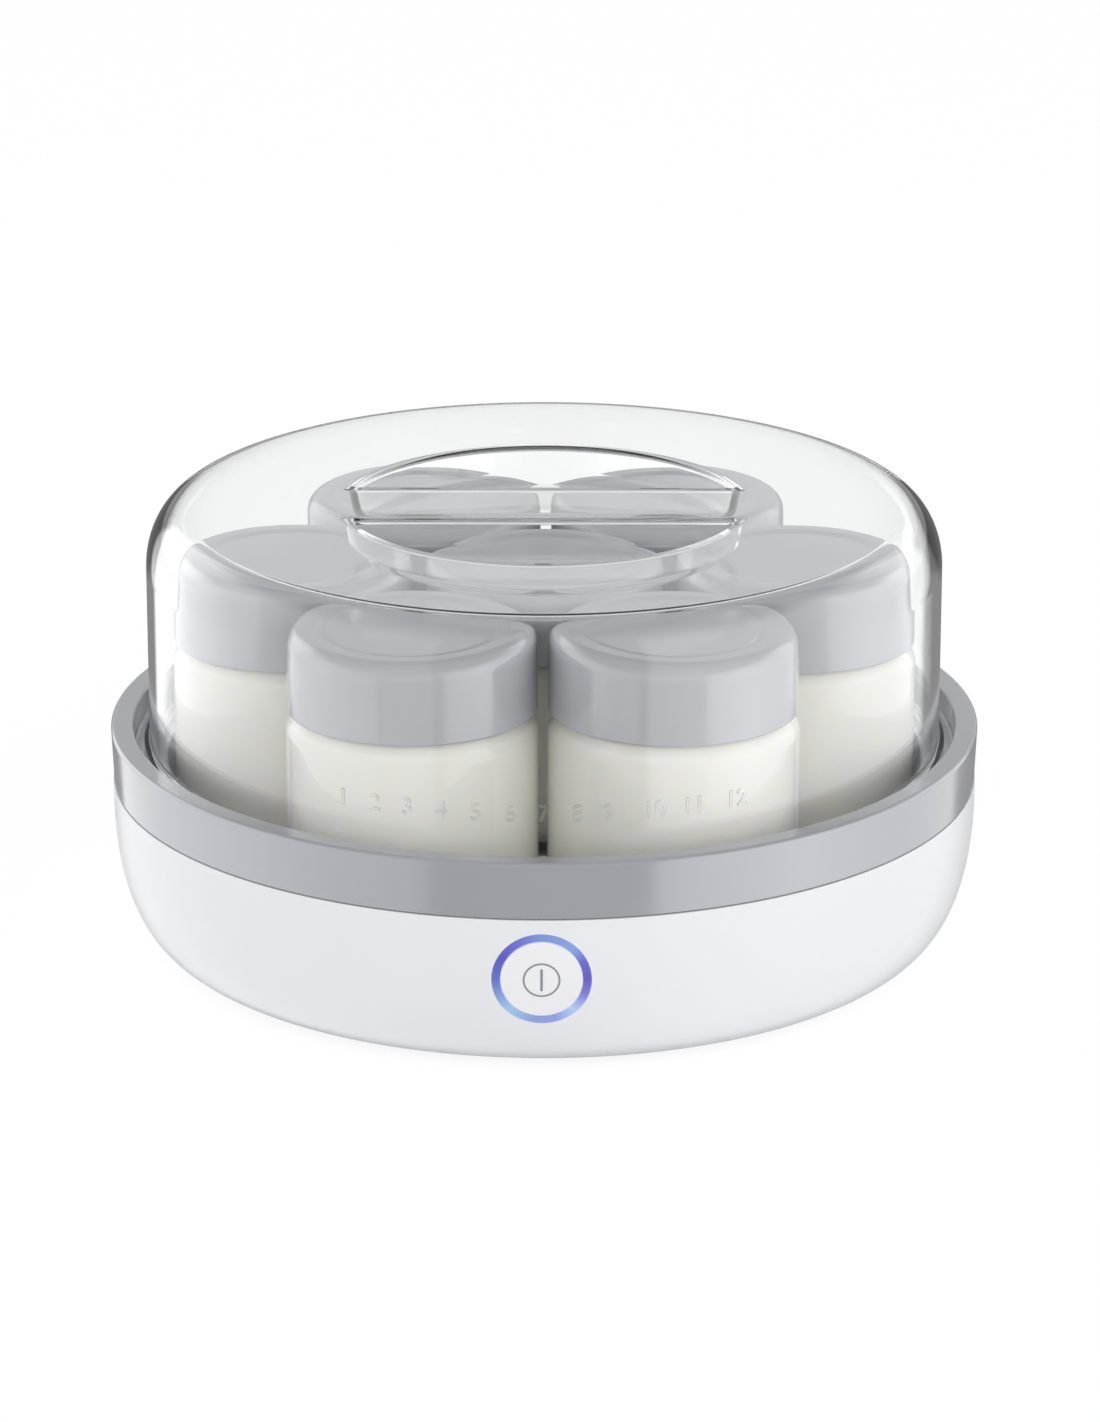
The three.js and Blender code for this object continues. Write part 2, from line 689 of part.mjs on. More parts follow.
// The flat cable between the two boards runs along the floor.
function ribbonCable() {
  const path = new THREE.CatmullRomCurve3([
    new THREE.Vector3(0, CONTROL_BOARD_BACK + GAP, 18),
    new THREE.Vector3(0, CONTROL_BOARD_BACK + 4, 17.2),
    new THREE.Vector3(0, -96, 13.5),
    new THREE.Vector3(0, -86, 7.5),
    new THREE.Vector3(0, -74, 5.6),
    new THREE.Vector3(0, -30, 5.4),
    new THREE.Vector3(0, -4, 6),
    new THREE.Vector3(0, 8, 9.4),
    new THREE.Vector3(0, POWER_BOARD.front - GAP, 10.1),
  ]);
  const half = 4;
  const thick = 0.4;
  const section = new THREE.Shape();
  section.moveTo(-half, -thick);
  section.lineTo(half, -thick);
  section.lineTo(half, thick);
  section.lineTo(-half, thick);
  section.closePath();
  return new THREE.ExtrudeGeometry(section, { steps: 24, extrudePath: path, bevelEnabled: false });
}

addPart('ribbon_cable', ribbonCable(), looks.greyWire);

// ---------------------------------------------------------------- cord gland
// A rubber bush in the rear wall: a flange on each side of the wall and a hole for the cord.
function cordGland() {
  const back = SHELL_RADIUS - GAP;
  const innerFront = GLAND_INNER_FLANGE;
  const outside = solidOf(rod(GLAND_FLANGE_RADIUS, innerFront, back, GLAND_HEIGHT, SMALL_FACETS));
  const clearOfShell = turned(
    [
      [0, FOOT_HEIGHT],
      ...outerBowl().map(([radius, height]) => [radius + GAP, height]),
      [0, SHELL_WIDEST],
    ],
    LARGE_FACETS,
  );
  const outerFlange = outside.subtract(solidOf(clearOfShell));
  const inside = solidOf(
    rod(GLAND_FLANGE_RADIUS, innerFront, innerFront + 8, GLAND_HEIGHT, SMALL_FACETS),
  );
  const innerFlange = inside.intersect(solidOf(shellRoom()));
  const neck = solidOf(
    rod(GLAND_RADIUS, innerFront + 0.5, back - 0.5, GLAND_HEIGHT, SMALL_FACETS),
  );
  const hole = rod(CORD_RADIUS, innerFront - 5, back + 5, GLAND_HEIGHT, SMALL_FACETS);
  return cut(neck.add(innerFlange).add(outerFlange), [hole]);
}

addPart('cord_gland', geometryOf(cordGland()), looks.rubber);

// ---------------------------------------------------------------- clear cover
// A tub turned upside down. Two finger pockets sink into its top, and the bar between them is
// the grip, hollow underneath.
function coverWall() {
  const bottom = SHELF_TOP + GAP;
  const bead = 1.6;
  const inner = COVER_RADIUS - COVER_WALL;
  const bendZ = COVER_TOP - COVER_SHOULDER_HEIGHT;
  const bendR = COVER_RADIUS - COVER_SHOULDER_WIDTH;
  const shoulder = (inset, from, to) =>
    corner(bendR, bendZ, COVER_SHOULDER_WIDTH - inset, from, to, 4, COVER_SHOULDER_HEIGHT - inset);
  return turned(
    [
      [0, COVER_TOP - COVER_WALL],
      ...shoulder(COVER_WALL, 90, 0),
      [inner, bottom],
      [COVER_RADIUS + bead, bottom],
      [COVER_RADIUS + bead, bottom + 2],
      [COVER_RADIUS, bottom + 2 + bead],
      ...shoulder(0, 0, 90),
      [0, COVER_TOP],
    ],
    LARGE_FACETS,
  );
}

// A tapered disc that fills both pockets, or their walls when it is grown by the wall.
function pocketCone(grow, bottom, top) {
  const slope = POCKET_DRAFT / POCKET_DEPTH;
  const radiusAt = (height) => POCKET_RADIUS + grow - slope * (COVER_TOP - height);
  const outline = [
    [0, bottom],
    [radiusAt(bottom), bottom],
    [radiusAt(top), top],
    [0, top],
  ];
  return turned(outline, LARGE_FACETS);
}

// The bar as a long wedge, wider at its foot, or the room under it when shrunk by the wall.
function barWedge(shrink, bottom, top) {
  const slope = POCKET_DRAFT / POCKET_DEPTH;
  const halfAt = (height) => BAR_WIDTH / 2 - shrink + slope * (COVER_TOP - height);
  const outline = new THREE.Shape();
  outline.moveTo(-halfAt(bottom), bottom);
  outline.lineTo(halfAt(bottom), bottom);
  outline.lineTo(halfAt(top), top);
  outline.lineTo(-halfAt(top), top);
  outline.closePath();
  const length = 2 * POCKET_RADIUS + 20;
  const wedge = new THREE.ExtrudeGeometry(outline, { depth: length, bevelEnabled: false });
  // Stand the outline up in the YZ plane and lay the length along X.
  return wedge.translate(0, 0, -length / 2).rotateY(Math.PI / 2).rotateX(Math.PI / 2);
}

function cover() {
  const under = POCKET_FLOOR - COVER_WALL;
  const above = COVER_TOP + 1;
  const innerTop = COVER_TOP - COVER_WALL;
  const trays = solidOf(pocketCone(COVER_WALL, under, COVER_TOP)).subtract(
    solidOf(barWedge(COVER_WALL, under - 1, innerTop)),
  );
  const pockets = solidOf(pocketCone(0, POCKET_FLOOR, above)).subtract(
    solidOf(barWedge(0, POCKET_FLOOR - 1, above + 1)),
  );
  return solidOf(coverWall()).add(trays).subtract(pockets);
}

addPart('cover', geometryOf(cover()), looks.clearPlastic);

// ---------------------------------------------------------------- jars
const JAR_BOTTOM = WELL_FLOOR + GAP;
const JAR_RIM = LID_TOP - 2.6;
const JAR_FLOOR = JAR_BOTTOM + 5;
const JAR_INNER_RADIUS = JAR_RADIUS - JAR_WALL;
const NECK_INNER_RADIUS = NECK_RADIUS - JAR_WALL;
const NECK_BOTTOM = LID_BOTTOM - 0.7;

function jar() {
  const heel = 5;
  return turned(
    [
      [0, JAR_BOTTOM],
      ...corner(JAR_RADIUS - heel, JAR_BOTTOM + heel, heel, -90, 0, 2),
      [JAR_RADIUS, SHOULDER_HEIGHT],
      [NECK_RADIUS, NECK_BOTTOM],
      [NECK_RADIUS, JAR_RIM],
      [NECK_INNER_RADIUS, JAR_RIM],
      [NECK_INNER_RADIUS, NECK_BOTTOM],
      [JAR_INNER_RADIUS, SHOULDER_HEIGHT],
      [JAR_INNER_RADIUS, JAR_FLOOR + 3],
      [JAR_INNER_RADIUS - 3, JAR_FLOOR],
      [0, JAR_FLOOR],
    ],
    JAR_FACETS,
  );
}

function yogurt() {
  return turned(
    [
      [0, JAR_FLOOR + GAP],
      [JAR_INNER_RADIUS - 3.2, JAR_FLOOR + GAP],
      [JAR_INNER_RADIUS - GAP, JAR_FLOOR + 3.2],
      [JAR_INNER_RADIUS - GAP, SHOULDER_HEIGHT - GAP],
      [NECK_INNER_RADIUS - GAP, NECK_BOTTOM],
      [NECK_INNER_RADIUS - GAP, YOGURT_TOP],
      [0, YOGURT_TOP],
    ],
    JAR_FACETS,
  );
}

function jarLid() {
  const inner = LID_RADIUS - LID_WALL + 0.1;
  const ceiling = LID_TOP - 2;
  const bend = 3;
  const dish = 0.6;
  return turned(
    [
      [0, ceiling],
      [inner, ceiling],
      [inner, LID_BOTTOM],
      [LID_RADIUS + 0.1, LID_BOTTOM],
      ...corner(LID_RADIUS - 0.2 - bend, LID_TOP - bend, bend, 0, 90, 2),
      [LID_RADIUS - 6, LID_TOP],
      [LID_RADIUS - 7.5, LID_TOP - dish],
      [0, LID_TOP - dish],
    ],
    JAR_FACETS,
  );
}

// Jar 1 stands in the middle; the others go round it anticlockwise from the right.
const jarPlaces = [[0, 0], ...[0, 60, 120, 180, 240, 300].map((angle) => onCircle(JAR_PITCH, angle))];
jarPlaces.forEach(([x, y], index) => {
  const number = index + 1;
  addPart(`jar_${number}`, jar().translate(x, y, 0), looks.glass);
  addPart(`yogurt_${number}`, yogurt().translate(x, y, 0), looks.yogurt);
  addPart(`lid_${number}`, jarLid().translate(x, y, 0), looks.lidPlastic);
});

export default group;
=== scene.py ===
"""Studio picture of a round electric yogurt maker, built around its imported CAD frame.

All lengths in the tables below are millimetres, turned into metres where a mesh is made.
Heights are above the table. The power button faces -Y.
"""

import json
import math

import bmesh
import bpy
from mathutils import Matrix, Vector
from mathutils.geometry import tessellate_polygon


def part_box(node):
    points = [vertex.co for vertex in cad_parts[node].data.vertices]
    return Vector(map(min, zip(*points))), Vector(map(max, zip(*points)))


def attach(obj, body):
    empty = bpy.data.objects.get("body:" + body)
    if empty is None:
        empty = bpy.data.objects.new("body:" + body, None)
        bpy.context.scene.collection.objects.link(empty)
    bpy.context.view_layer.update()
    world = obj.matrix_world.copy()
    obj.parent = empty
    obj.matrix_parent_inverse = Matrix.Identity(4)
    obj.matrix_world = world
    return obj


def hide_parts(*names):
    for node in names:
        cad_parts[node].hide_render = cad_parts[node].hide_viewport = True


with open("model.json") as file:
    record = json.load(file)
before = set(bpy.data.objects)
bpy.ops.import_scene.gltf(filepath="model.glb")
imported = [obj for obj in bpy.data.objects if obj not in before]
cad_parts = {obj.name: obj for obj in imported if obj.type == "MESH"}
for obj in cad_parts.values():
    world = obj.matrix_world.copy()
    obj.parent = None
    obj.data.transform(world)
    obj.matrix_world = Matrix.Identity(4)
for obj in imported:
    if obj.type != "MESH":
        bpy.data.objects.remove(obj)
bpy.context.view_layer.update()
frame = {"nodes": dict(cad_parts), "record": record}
scene = bpy.context.scene
MM = 0.001

# ---------------------------------------------------------------- sizes, repeated from the CAD
FOOT_HEIGHT = 1.5
SHELL_RADIUS = 117.5
SHELL_FLAT_RADIUS = 98.6
SHELL_CURVE_HEIGHT = 42.0
SHELL_CURVE_POWER = 2.3
SHELL_SHOULDER = 45.8
SHELL_LIP_RADIUS = 115.2
SHELL_LIP_TOP = 51.7
SHELL_WALL = 2.5

RIM_RADIUS = 117.9
RIM_BOTTOM = 46.1
RIM_TOP = 61.3
RIM_INNER_RADIUS = 111.7
SHELF_TOP = 54.0
WELL_RADIUS = 102.5
WELL_FLOOR = 29.5
HOUSING_WALL = 2.0

COVER_RADIUS = 107.4
COVER_TOP = 121.5
COVER_BOTTOM = 54.3
COVER_WALL = 2.3
TOP_WALL = 1.4  # the flat top and the finger pockets
COVER_SHOULDER_WIDTH = 11.0
COVER_SHOULDER_HEIGHT = 16.0
COVER_FLAT_RING = 75.0  # where the turned skin meets the flat top
POCKET_RADIUS = 53.7
POCKET_FLOOR = 111.5
POCKET_DRAFT = 1.4
POCKET_CORNER = 1.0
BAR_HALF = 14.25  # half the grip bar's width

JAR_RADIUS = 33.0
JAR_WALL = 2.6
JAR_BOTTOM = 29.8
JAR_FLOOR = 34.8
JAR_SHOULDER = 79.5
NECK_RADIUS = 30.6
NECK_BOTTOM = 83.3
JAR_RIM = 102.6
YOGURT_TOP = 88.0
LID_RADIUS = 32.6
LID_BOTTOM = 84.0
LID_TOP = 105.2
LID_WALL = 1.4

BUTTON_HEIGHT = 29.2
BUTTON_RADIUS = 10.7
RING_INNER = 10.85
RING_OUTER = 12.75
APERTURE = 12.9

FOOT_RADIUS = 7.0
GLAND_HEIGHT = 20.0
GLAND_HOLE = 3.2
GLAND_NECK = 5.0
GLAND_FLANGE = 7.0
SCREW_CIRCLE = 91.0
SCREW_ANGLES = (60, 120, 240, 300)

HOUR_HEIGHT = 71.0  # middle of the numbers on the cover
HOUR_SIZE = 6.4
HOUR_PROUD = 0.22
# degrees round from the front to each number, 1 to 12
HOUR_ANGLES = (-28.45, -23.5, -18.75, -13.85, -9.1, -4.3, 0.2, 4.85, 9.1, 15.55, 21.2, 27.7)

# ---------------------------------------------------------------- light and camera
FLOOR_HALF = 12.0  # metres
FLOOR_GLOW = 0.86  # the floor's own brightness as the camera sees it
FLOOR_SEEN = 0.2  # how much of the light and shade on the floor the camera sees
FLOOR_BOUNCE = 0.85  # how much light the floor sends back up
FLOOR_THROUGH = 1.08  # the floor's brightness seen through the clear parts
ROOM = 0.25  # brightness of the dim room
PANEL = 1.45  # brightest part of the big side panels
# (degrees round from the front, share of the panels' brightness)
PANELS = (
    (-180, 0.0), (-155, 0.0), (-152, 0.95), (-114, 0.95), (-85, 0.8), (-59, 0.5), (-32, 0.34), (-30.5, 0.0),
    (29, 0.0), (30.5, 0.6), (43, 0.8), (73, 1.08), (112, 0.75), (141, 0.75), (145, 0.0), (180, 0.0),
)
BACKDROP = 0.55  # added by the white backdrop behind, above the table
OVERHEAD = 0.1  # added from straight above
FILL = 18.0  # watts of the soft front light
FILL_SIZE = (2.0, 1.2)  # metres
FILL_PLACE = (0, -2.15, 0.9)
FILL_TARGET_HEIGHT = 0.06
LENS = 154.0  # millimetres, on a sensor 36 mm wide
CAMERA_PLACE = (0.0096, -1.5681, 0.6009)
CAMERA_DOWN = 0.330985  # radians below level
CAMERA_YAW = 0.0051225

# colours round the light ring, each at its share of a turn
RING_COLOURS = (
    (0.0, (98, 88, 184)),
    (0.07, (104, 100, 195)),
    (0.13, (140, 168, 222)),
    (0.25, (128, 152, 214)),
    (0.33, (108, 116, 204)),
    (0.41, (88, 82, 182)),
    (0.5, (96, 112, 190)),
    (0.57, (138, 164, 216)),
    (0.63, (164, 202, 230)),
    (0.73, (138, 162, 214)),
    (0.80, (148, 160, 224)),
    (0.87, (186, 210, 244)),
    (0.94, (128, 126, 208)),
    (1.0, (98, 88, 184)),
)


# ---------------------------------------------------------------- mesh building
class Skin:
    """Gathers faces by position, so shared corners are one vertex, each with its own normal."""

    def __init__(self):
        self.index = {}
        self.points = []
        self.faces = []
        self.normals = []

    def vertex(self, point):
        key = tuple(round(c, 5) for c in point)
        if key not in self.index:
            self.index[key] = len(self.points)
            self.points.append([c * MM for c in point])
        return self.index[key]

    def face(self, points, normals):
        corners = []
        for point, normal in zip(points, normals):
            i = self.vertex(point)
            if i not in [c[0] for c in corners]:
                corners.append((i, normal))
        if len(corners) > 2:
            self.faces.append([c[0] for c in corners])
            self.normals += [c[1] for c in corners]

    def mesh(self, name):
        mesh = bpy.data.meshes.new(name)
        mesh.from_pydata(self.points, [], self.faces)
        mesh.polygons.foreach_set("use_smooth", [True] * len(mesh.polygons))
        mesh.normals_split_custom_set(self.normals)
        mesh.update()
        return mesh


def rounded(corners, steps=6):
    """Points along an outline of (across, up, bend) corners, each bend drawn as an arc."""
    points = []
    for i, (x, y, *bend) in enumerate(corners):
        here = Vector((x, y))
        if not bend or i in (0, len(corners) - 1):
            points.append(here)
            continue
        before = (Vector(corners[i - 1][:2]) - here).normalized()
        after = (Vector(corners[i + 1][:2]) - here).normalized()
        half = before.angle(after) / 2
        centre = here + (before + after).normalized() * (bend[0] / math.sin(half))
        start = here + before * (bend[0] / math.tan(half)) - centre
        turn = start.angle_signed(here + after * (bend[0] / math.tan(half)) - centre)
        for k in range(steps + 1):
            a = -turn * k / steps
            c, s = math.cos(a), math.sin(a)
            points.append(centre + Vector((start.x * c - start.y * s, start.x * s + start.y * c)))
    return [(p.x, p.y) for p in points]


def outline_normals(points, closed=False):
    """For each stretch of an outline, the normals at its two ends, smooth over gentle bends."""
    count = len(points)
    flat = []
    for i in range(count if closed else count - 1):
        a, b = points[i], points[(i + 1) % count]
        way = Vector((b[0] - a[0], b[1] - a[1]))
        flat.append((Vector((way.y, -way.x)).normalized(), way.length))
    ends = []
    for i, (normal, length) in enumerate(flat):
        pair = []
        for other in (i - 1, i + 1):
            if closed:
                other %= len(flat)
            if not 0 <= other < len(flat):
                pair.append(normal)
                continue
            beside, size = flat[other]
            if normal.dot(beside) < math.cos(math.radians(32)) or length > 2.5 * size:
                pair.append(normal)
            elif size > 2.5 * length:
                pair.append(beside)
            else:
                pair.append((normal + beside).normalized())
        ends.append(pair)
    return ends


def turn_outline(skin, points, steps, closed=False):
    """Adds the surface that an outline makes when it turns once about the vertical axis."""
    ends = outline_normals(points, closed)
    ring = [(math.cos(2 * math.pi * k / steps), math.sin(2 * math.pi * k / steps)) for k in range(steps)]
    for i, (first, last) in enumerate(ends):
        (r0, z0), (r1, z1) = points[i], points[(i + 1) % len(points)]
        for k in range(steps):
            (c0, s0), (c1, s1) = ring[k], ring[(k + 1) % steps]
            skin.face(
                [
                    (r0 * c0, r0 * s0, z0),
                    (r0 * c1, r0 * s1, z0),
                    (r1 * c1, r1 * s1, z1),
                    (r1 * c0, r1 * s0, z1),
                ],
                [
                    (first.x * c0, first.x * s0, first.y),
                    (first.x * c1, first.x * s1, first.y),
                    (last.x * c1, last.x * s1, last.y),
                    (last.x * c0, last.x * s0, last.y),
                ],
            )


def turned(name, points, steps, closed=False):
    skin = Skin()
    turn_outline(skin, points, steps, closed)
    return skin.mesh(name)


def placed(name, mesh, at=(0, 0, 0)):
    obj = bpy.data.objects.new(name, mesh)
    obj.location = [c * MM for c in at]
    scene.collection.objects.link(obj)
    return obj


def piece(obj, body, slot, nodes=(), material=None):
    """Sets a finished piece into the frame: what it moves with, its finish and what it stands for."""
    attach(obj, body)
    if nodes:
        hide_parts(*nodes)
    obj.data.materials.clear()
    obj.data.materials.append(material or finish(slot))
    return obj


def forward(mesh, height):
    """Turns a mesh made about +Z so that its axis points to -Y at that height."""
    for v in mesh.vertices:
        x, y, z = v.co
        v.co = (x, -z, y + height * MM)
    return mesh


def combined(target, tools, operation):
    """The target mesh after one boolean with all the tool meshes together."""
    body = placed("cutting_body", target)
    gathered = bmesh.new()
    for tool in tools:
        gathered.from_mesh(tool)
    joined = bpy.data.meshes.new("cutting_tools")
    gathered.to_mesh(joined)
    gathered.free()
    tool_obj = placed("cutting_tool", joined)
    step = body.modifiers.new("step", "BOOLEAN")
    step.operation = operation
    step.solver = "MANIFOLD"
    step.object = tool_obj
    bpy.context.view_layer.update()
    done = bpy.data.meshes.new_from_object(body.evaluated_get(bpy.context.evaluated_depsgraph_get()))
    bpy.data.objects.remove(body)
    bpy.data.objects.remove(tool_obj)
    return done


def relight(mesh, surface, limit=0.94):
    """Gives a cut mesh exact normals where it lies on a known surface, and tidy ones elsewhere."""
    mesh.polygons.foreach_set("use_smooth", [True] * len(mesh.polygons))
    mesh.set_sharp_from_angle(angle=math.radians(30))
    normals = [Vector(c.vector) for c in mesh.corner_normals]
    for face in mesh.polygons:
        for loop in face.loop_indices:
            exact = surface(mesh.vertices[mesh.loops[loop].vertex_index].co / MM, face.normal)
            if exact is not None and exact.dot(face.normal) > limit:
                normals[loop] = exact
    mesh.normals_split_custom_set(normals)
    return mesh


# ---------------------------------------------------------------- materials
def linear(*srgb):
    """Linear colour from 0-255 screen values."""
    out = []
    for value in srgb:
        c = value / 255
        out.append(c / 12.92 if c <= 0.04045 else ((c + 0.055) / 1.055) ** 2.4)
    return (*out, 1.0)


def start_material(name):
    material = bpy.data.materials.new(name)
    material.use_nodes = True
    tree = material.node_tree
    shader = tree.nodes["Principled BSDF"]
    where = tree.nodes.new("ShaderNodeTexCoord")
    return material, tree, shader, where.outputs["Object"]


def noise(tree, where, scale, detail=3.0, low=0.0, high=1.0):
    """A noise pattern spread over a range of values."""
    pattern = tree.nodes.new("ShaderNodeTexNoise")
    pattern.inputs["Scale"].default_value = scale
    pattern.inputs["Detail"].default_value = detail
    tree.links.new(where, pattern.inputs["Vector"])
    spread = tree.nodes.new("ShaderNodeMapRange")
    spread.inputs["From Min"].default_value = 0.3
    spread.inputs["From Max"].default_value = 0.7
    spread.inputs["To Min"].default_value = low
    spread.inputs["To Max"].default_value = high
    tree.links.new(pattern.outputs["Fac"], spread.inputs["Value"])
    return spread.outputs["Result"]


def calculate(tree, operation, a, b):
    node = tree.nodes.new("ShaderNodeMath")
    node.operation = operation
    for socket, value in zip(node.inputs, (a, b)):
        if isinstance(value, (int, float)):
            socket.default_value = value
        else:
            tree.links.new(value, socket)
    return node.outputs[0]


def fill_ramp(ramp, stops):
    """Sets a colour ramp to (position, colour) stops."""
    points = ramp.color_ramp.elements
    while len(points) < len(stops):
        points.new(0.5)
    for point, (at, colour) in zip(points, stops):
        point.position = at
        point.color = colour


def blended(tree, factor, first, second):
    """A shader that goes from the first to the second as the factor goes from 0 to 1."""
    mix = tree.nodes.new("ShaderNodeMixShader")
    tree.links.new(factor, mix.inputs["Fac"])
    tree.links.new(first.outputs[0], mix.inputs[1])
    tree.links.new(second.outputs[0], mix.inputs[2])
    return mix


def two_tone(tree, factor, first, second):
    mix = tree.nodes.new("ShaderNodeMix")
    mix.data_type = "RGBA"
    mix.inputs["A"].default_value = first
    mix.inputs["B"].default_value = second
    tree.links.new(factor, mix.inputs["Factor"])
    return mix.outputs["Result"]


def relief(tree, shader, height, strength, distance):
    bump = tree.nodes.new("ShaderNodeBump")
    bump.inputs["Strength"].default_value = strength
    bump.inputs["Distance"].default_value = distance
    tree.links.new(height, bump.inputs["Height"])
    tree.links.new(bump.outputs["Normal"], shader.inputs["Normal"])


def moulded(name, colour, roughness, variation=0.03, patch=35, grain=1400, depth=2e-6, **sockets):
    """A moulded or painted surface: soft patches in its colour, uneven gloss and a fine grain."""
    material, tree, shader, where = start_material(name)
    dark = tuple(c * (1 - variation) for c in colour[:3]) + (1.0,)
    light = tuple(min(1.0, c * (1 + variation)) for c in colour[:3]) + (1.0,)
    tone = two_tone(tree, noise(tree, where, patch), dark, light)
    tree.links.new(tone, shader.inputs["Base Color"])
    gloss = noise(tree, where, patch * 3, 4.0, roughness * 0.88, roughness * 1.12)
    tree.links.new(gloss, shader.inputs["Roughness"])
    relief(tree, shader, noise(tree, where, grain, 2.0), 0.25, depth)
    for socket, value in sockets.items():
        shader.inputs[socket.replace("_", " ")].default_value = value
    return material


def see_through(name, colour, roughness, ior, scratch):
    """Clear plastic or glass. Light for shadows and soft bounces passes straight through it."""
    material, tree, shader, where = start_material(name)
    dark = tuple(c * 0.994 for c in colour[:3]) + (1.0,)
    tree.links.new(two_tone(tree, noise(tree, where, 25), dark, colour), shader.inputs["Base Color"])
    gloss = noise(tree, where, 90, 5.0, roughness * 0.5, roughness * 1.5)
    tree.links.new(gloss, shader.inputs["Roughness"])
    relief(tree, shader, noise(tree, where, 22, 2.0), 0.3, scratch)
    shader.inputs["Transmission Weight"].default_value = 1.0
    shader.inputs["IOR"].default_value = ior
    path = tree.nodes.new("ShaderNodeLightPath")
    either = calculate(tree, "MAXIMUM", path.outputs["Is Shadow Ray"], path.outputs["Is Diffuse Ray"])
    clear = tree.nodes.new("ShaderNodeBsdfTransparent")
    clear.inputs["Color"].default_value = (1.0, 1.0, 1.0, 1.0)
    mix = blended(tree, either, shader, clear)
    tree.links.new(mix.outputs[0], tree.nodes["Material Output"].inputs["Surface"])
    return material


def lit_ring(name):
    """A frosted light guide, its blue uneven from lamp to lamp round the ring."""
    material, tree, shader, where = start_material(name)
    frame_place = tree.nodes.new("ShaderNodeMapping")
    frame_place.vector_type = "POINT"
    frame_place.inputs["Location"].default_value = (0, BUTTON_HEIGHT * MM, 0)
    frame_place.inputs["Rotation"].default_value = (math.radians(90), 0, 0)
    frame_place.inputs["Scale"].default_value = (-1, 1, 1)
    tree.links.new(where, frame_place.inputs["Vector"])
    around = tree.nodes.new("ShaderNodeTexGradient")
    around.gradient_type = "RADIAL"
    tree.links.new(frame_place.outputs["Vector"], around.inputs["Vector"])
    ramp = tree.nodes.new("ShaderNodeValToRGB")
    tree.links.new(around.outputs["Fac"], ramp.inputs["Fac"])
    fill_ramp(ramp, [(at, linear(*colour)) for at, colour in RING_COLOURS])
    tree.links.new(ramp.outputs["Color"], shader.inputs["Emission Color"])
    shader.inputs["Emission Strength"].default_value = 0.85
    shader.inputs["Base Color"].default_value = (0.03, 0.035, 0.12, 1)
    gloss = noise(tree, where, 300, 3.0, 0.3, 0.5)
    tree.links.new(gloss, shader.inputs["Roughness"])
    relief(tree, shader, noise(tree, where, 900, 2.0), 0.3, 1e-5)
    return material


def board_material(name):
    """Green solder mask with faint copper tracks under it."""
    material, tree, shader, where = start_material(name)
    tracks = tree.nodes.new("ShaderNodeTexWave")
    tracks.inputs["Scale"].default_value = 320
    tracks.inputs["Distortion"].default_value = 2.5
    tree.links.new(where, tracks.inputs["Vector"])
    colour = two_tone(tree, tracks.outputs["Fac"], (0.012, 0.075, 0.03, 1), (0.03, 0.16, 0.06, 1))
    tree.links.new(colour, shader.inputs["Base Color"])
    tree.links.new(noise(tree, where, 200, 3.0, 0.3, 0.45), shader.inputs["Roughness"])
    relief(tree, shader, tracks.outputs["Fac"], 0.3, 3e-5)
    return material


def metal(name, colour, roughness, grain):
    """Rolled or drawn metal with fine lines along it."""
    material, tree, shader, where = start_material(name)
    stretch = tree.nodes.new("ShaderNodeMapping")
    stretch.inputs["Scale"].default_value = (1.0, 14.0, 14.0)
    tree.links.new(where, stretch.inputs["Vector"])
    lines = stretch.outputs["Vector"]
    dark = tuple(c * 0.86 for c in colour[:3]) + (1.0,)
    tree.links.new(two_tone(tree, noise(tree, lines, grain), dark, colour), shader.inputs["Base Color"])
    gloss = noise(tree, lines, grain * 1.7, 4.0, roughness * 0.8, roughness * 1.25)
    tree.links.new(gloss, shader.inputs["Roughness"])
    relief(tree, shader, noise(tree, lines, grain * 2), 0.2, 1e-5)
    shader.inputs["Metallic"].default_value = 1.0
    return material


def yogurt_material(name):
    """Set yogurt: creamy, a little translucent, with faint clouding."""
    material = moulded(name, linear(252, 251, 242), 0.42, 0.012, 60, 260, 2e-5)
    shader = material.node_tree.nodes["Principled BSDF"]
    shader.inputs["Subsurface Weight"].default_value = 0.25
    shader.inputs["Subsurface Radius"].default_value = (0.004, 0.003, 0.0018)
    shader.inputs["Subsurface Scale"].default_value = 1.0
    return material


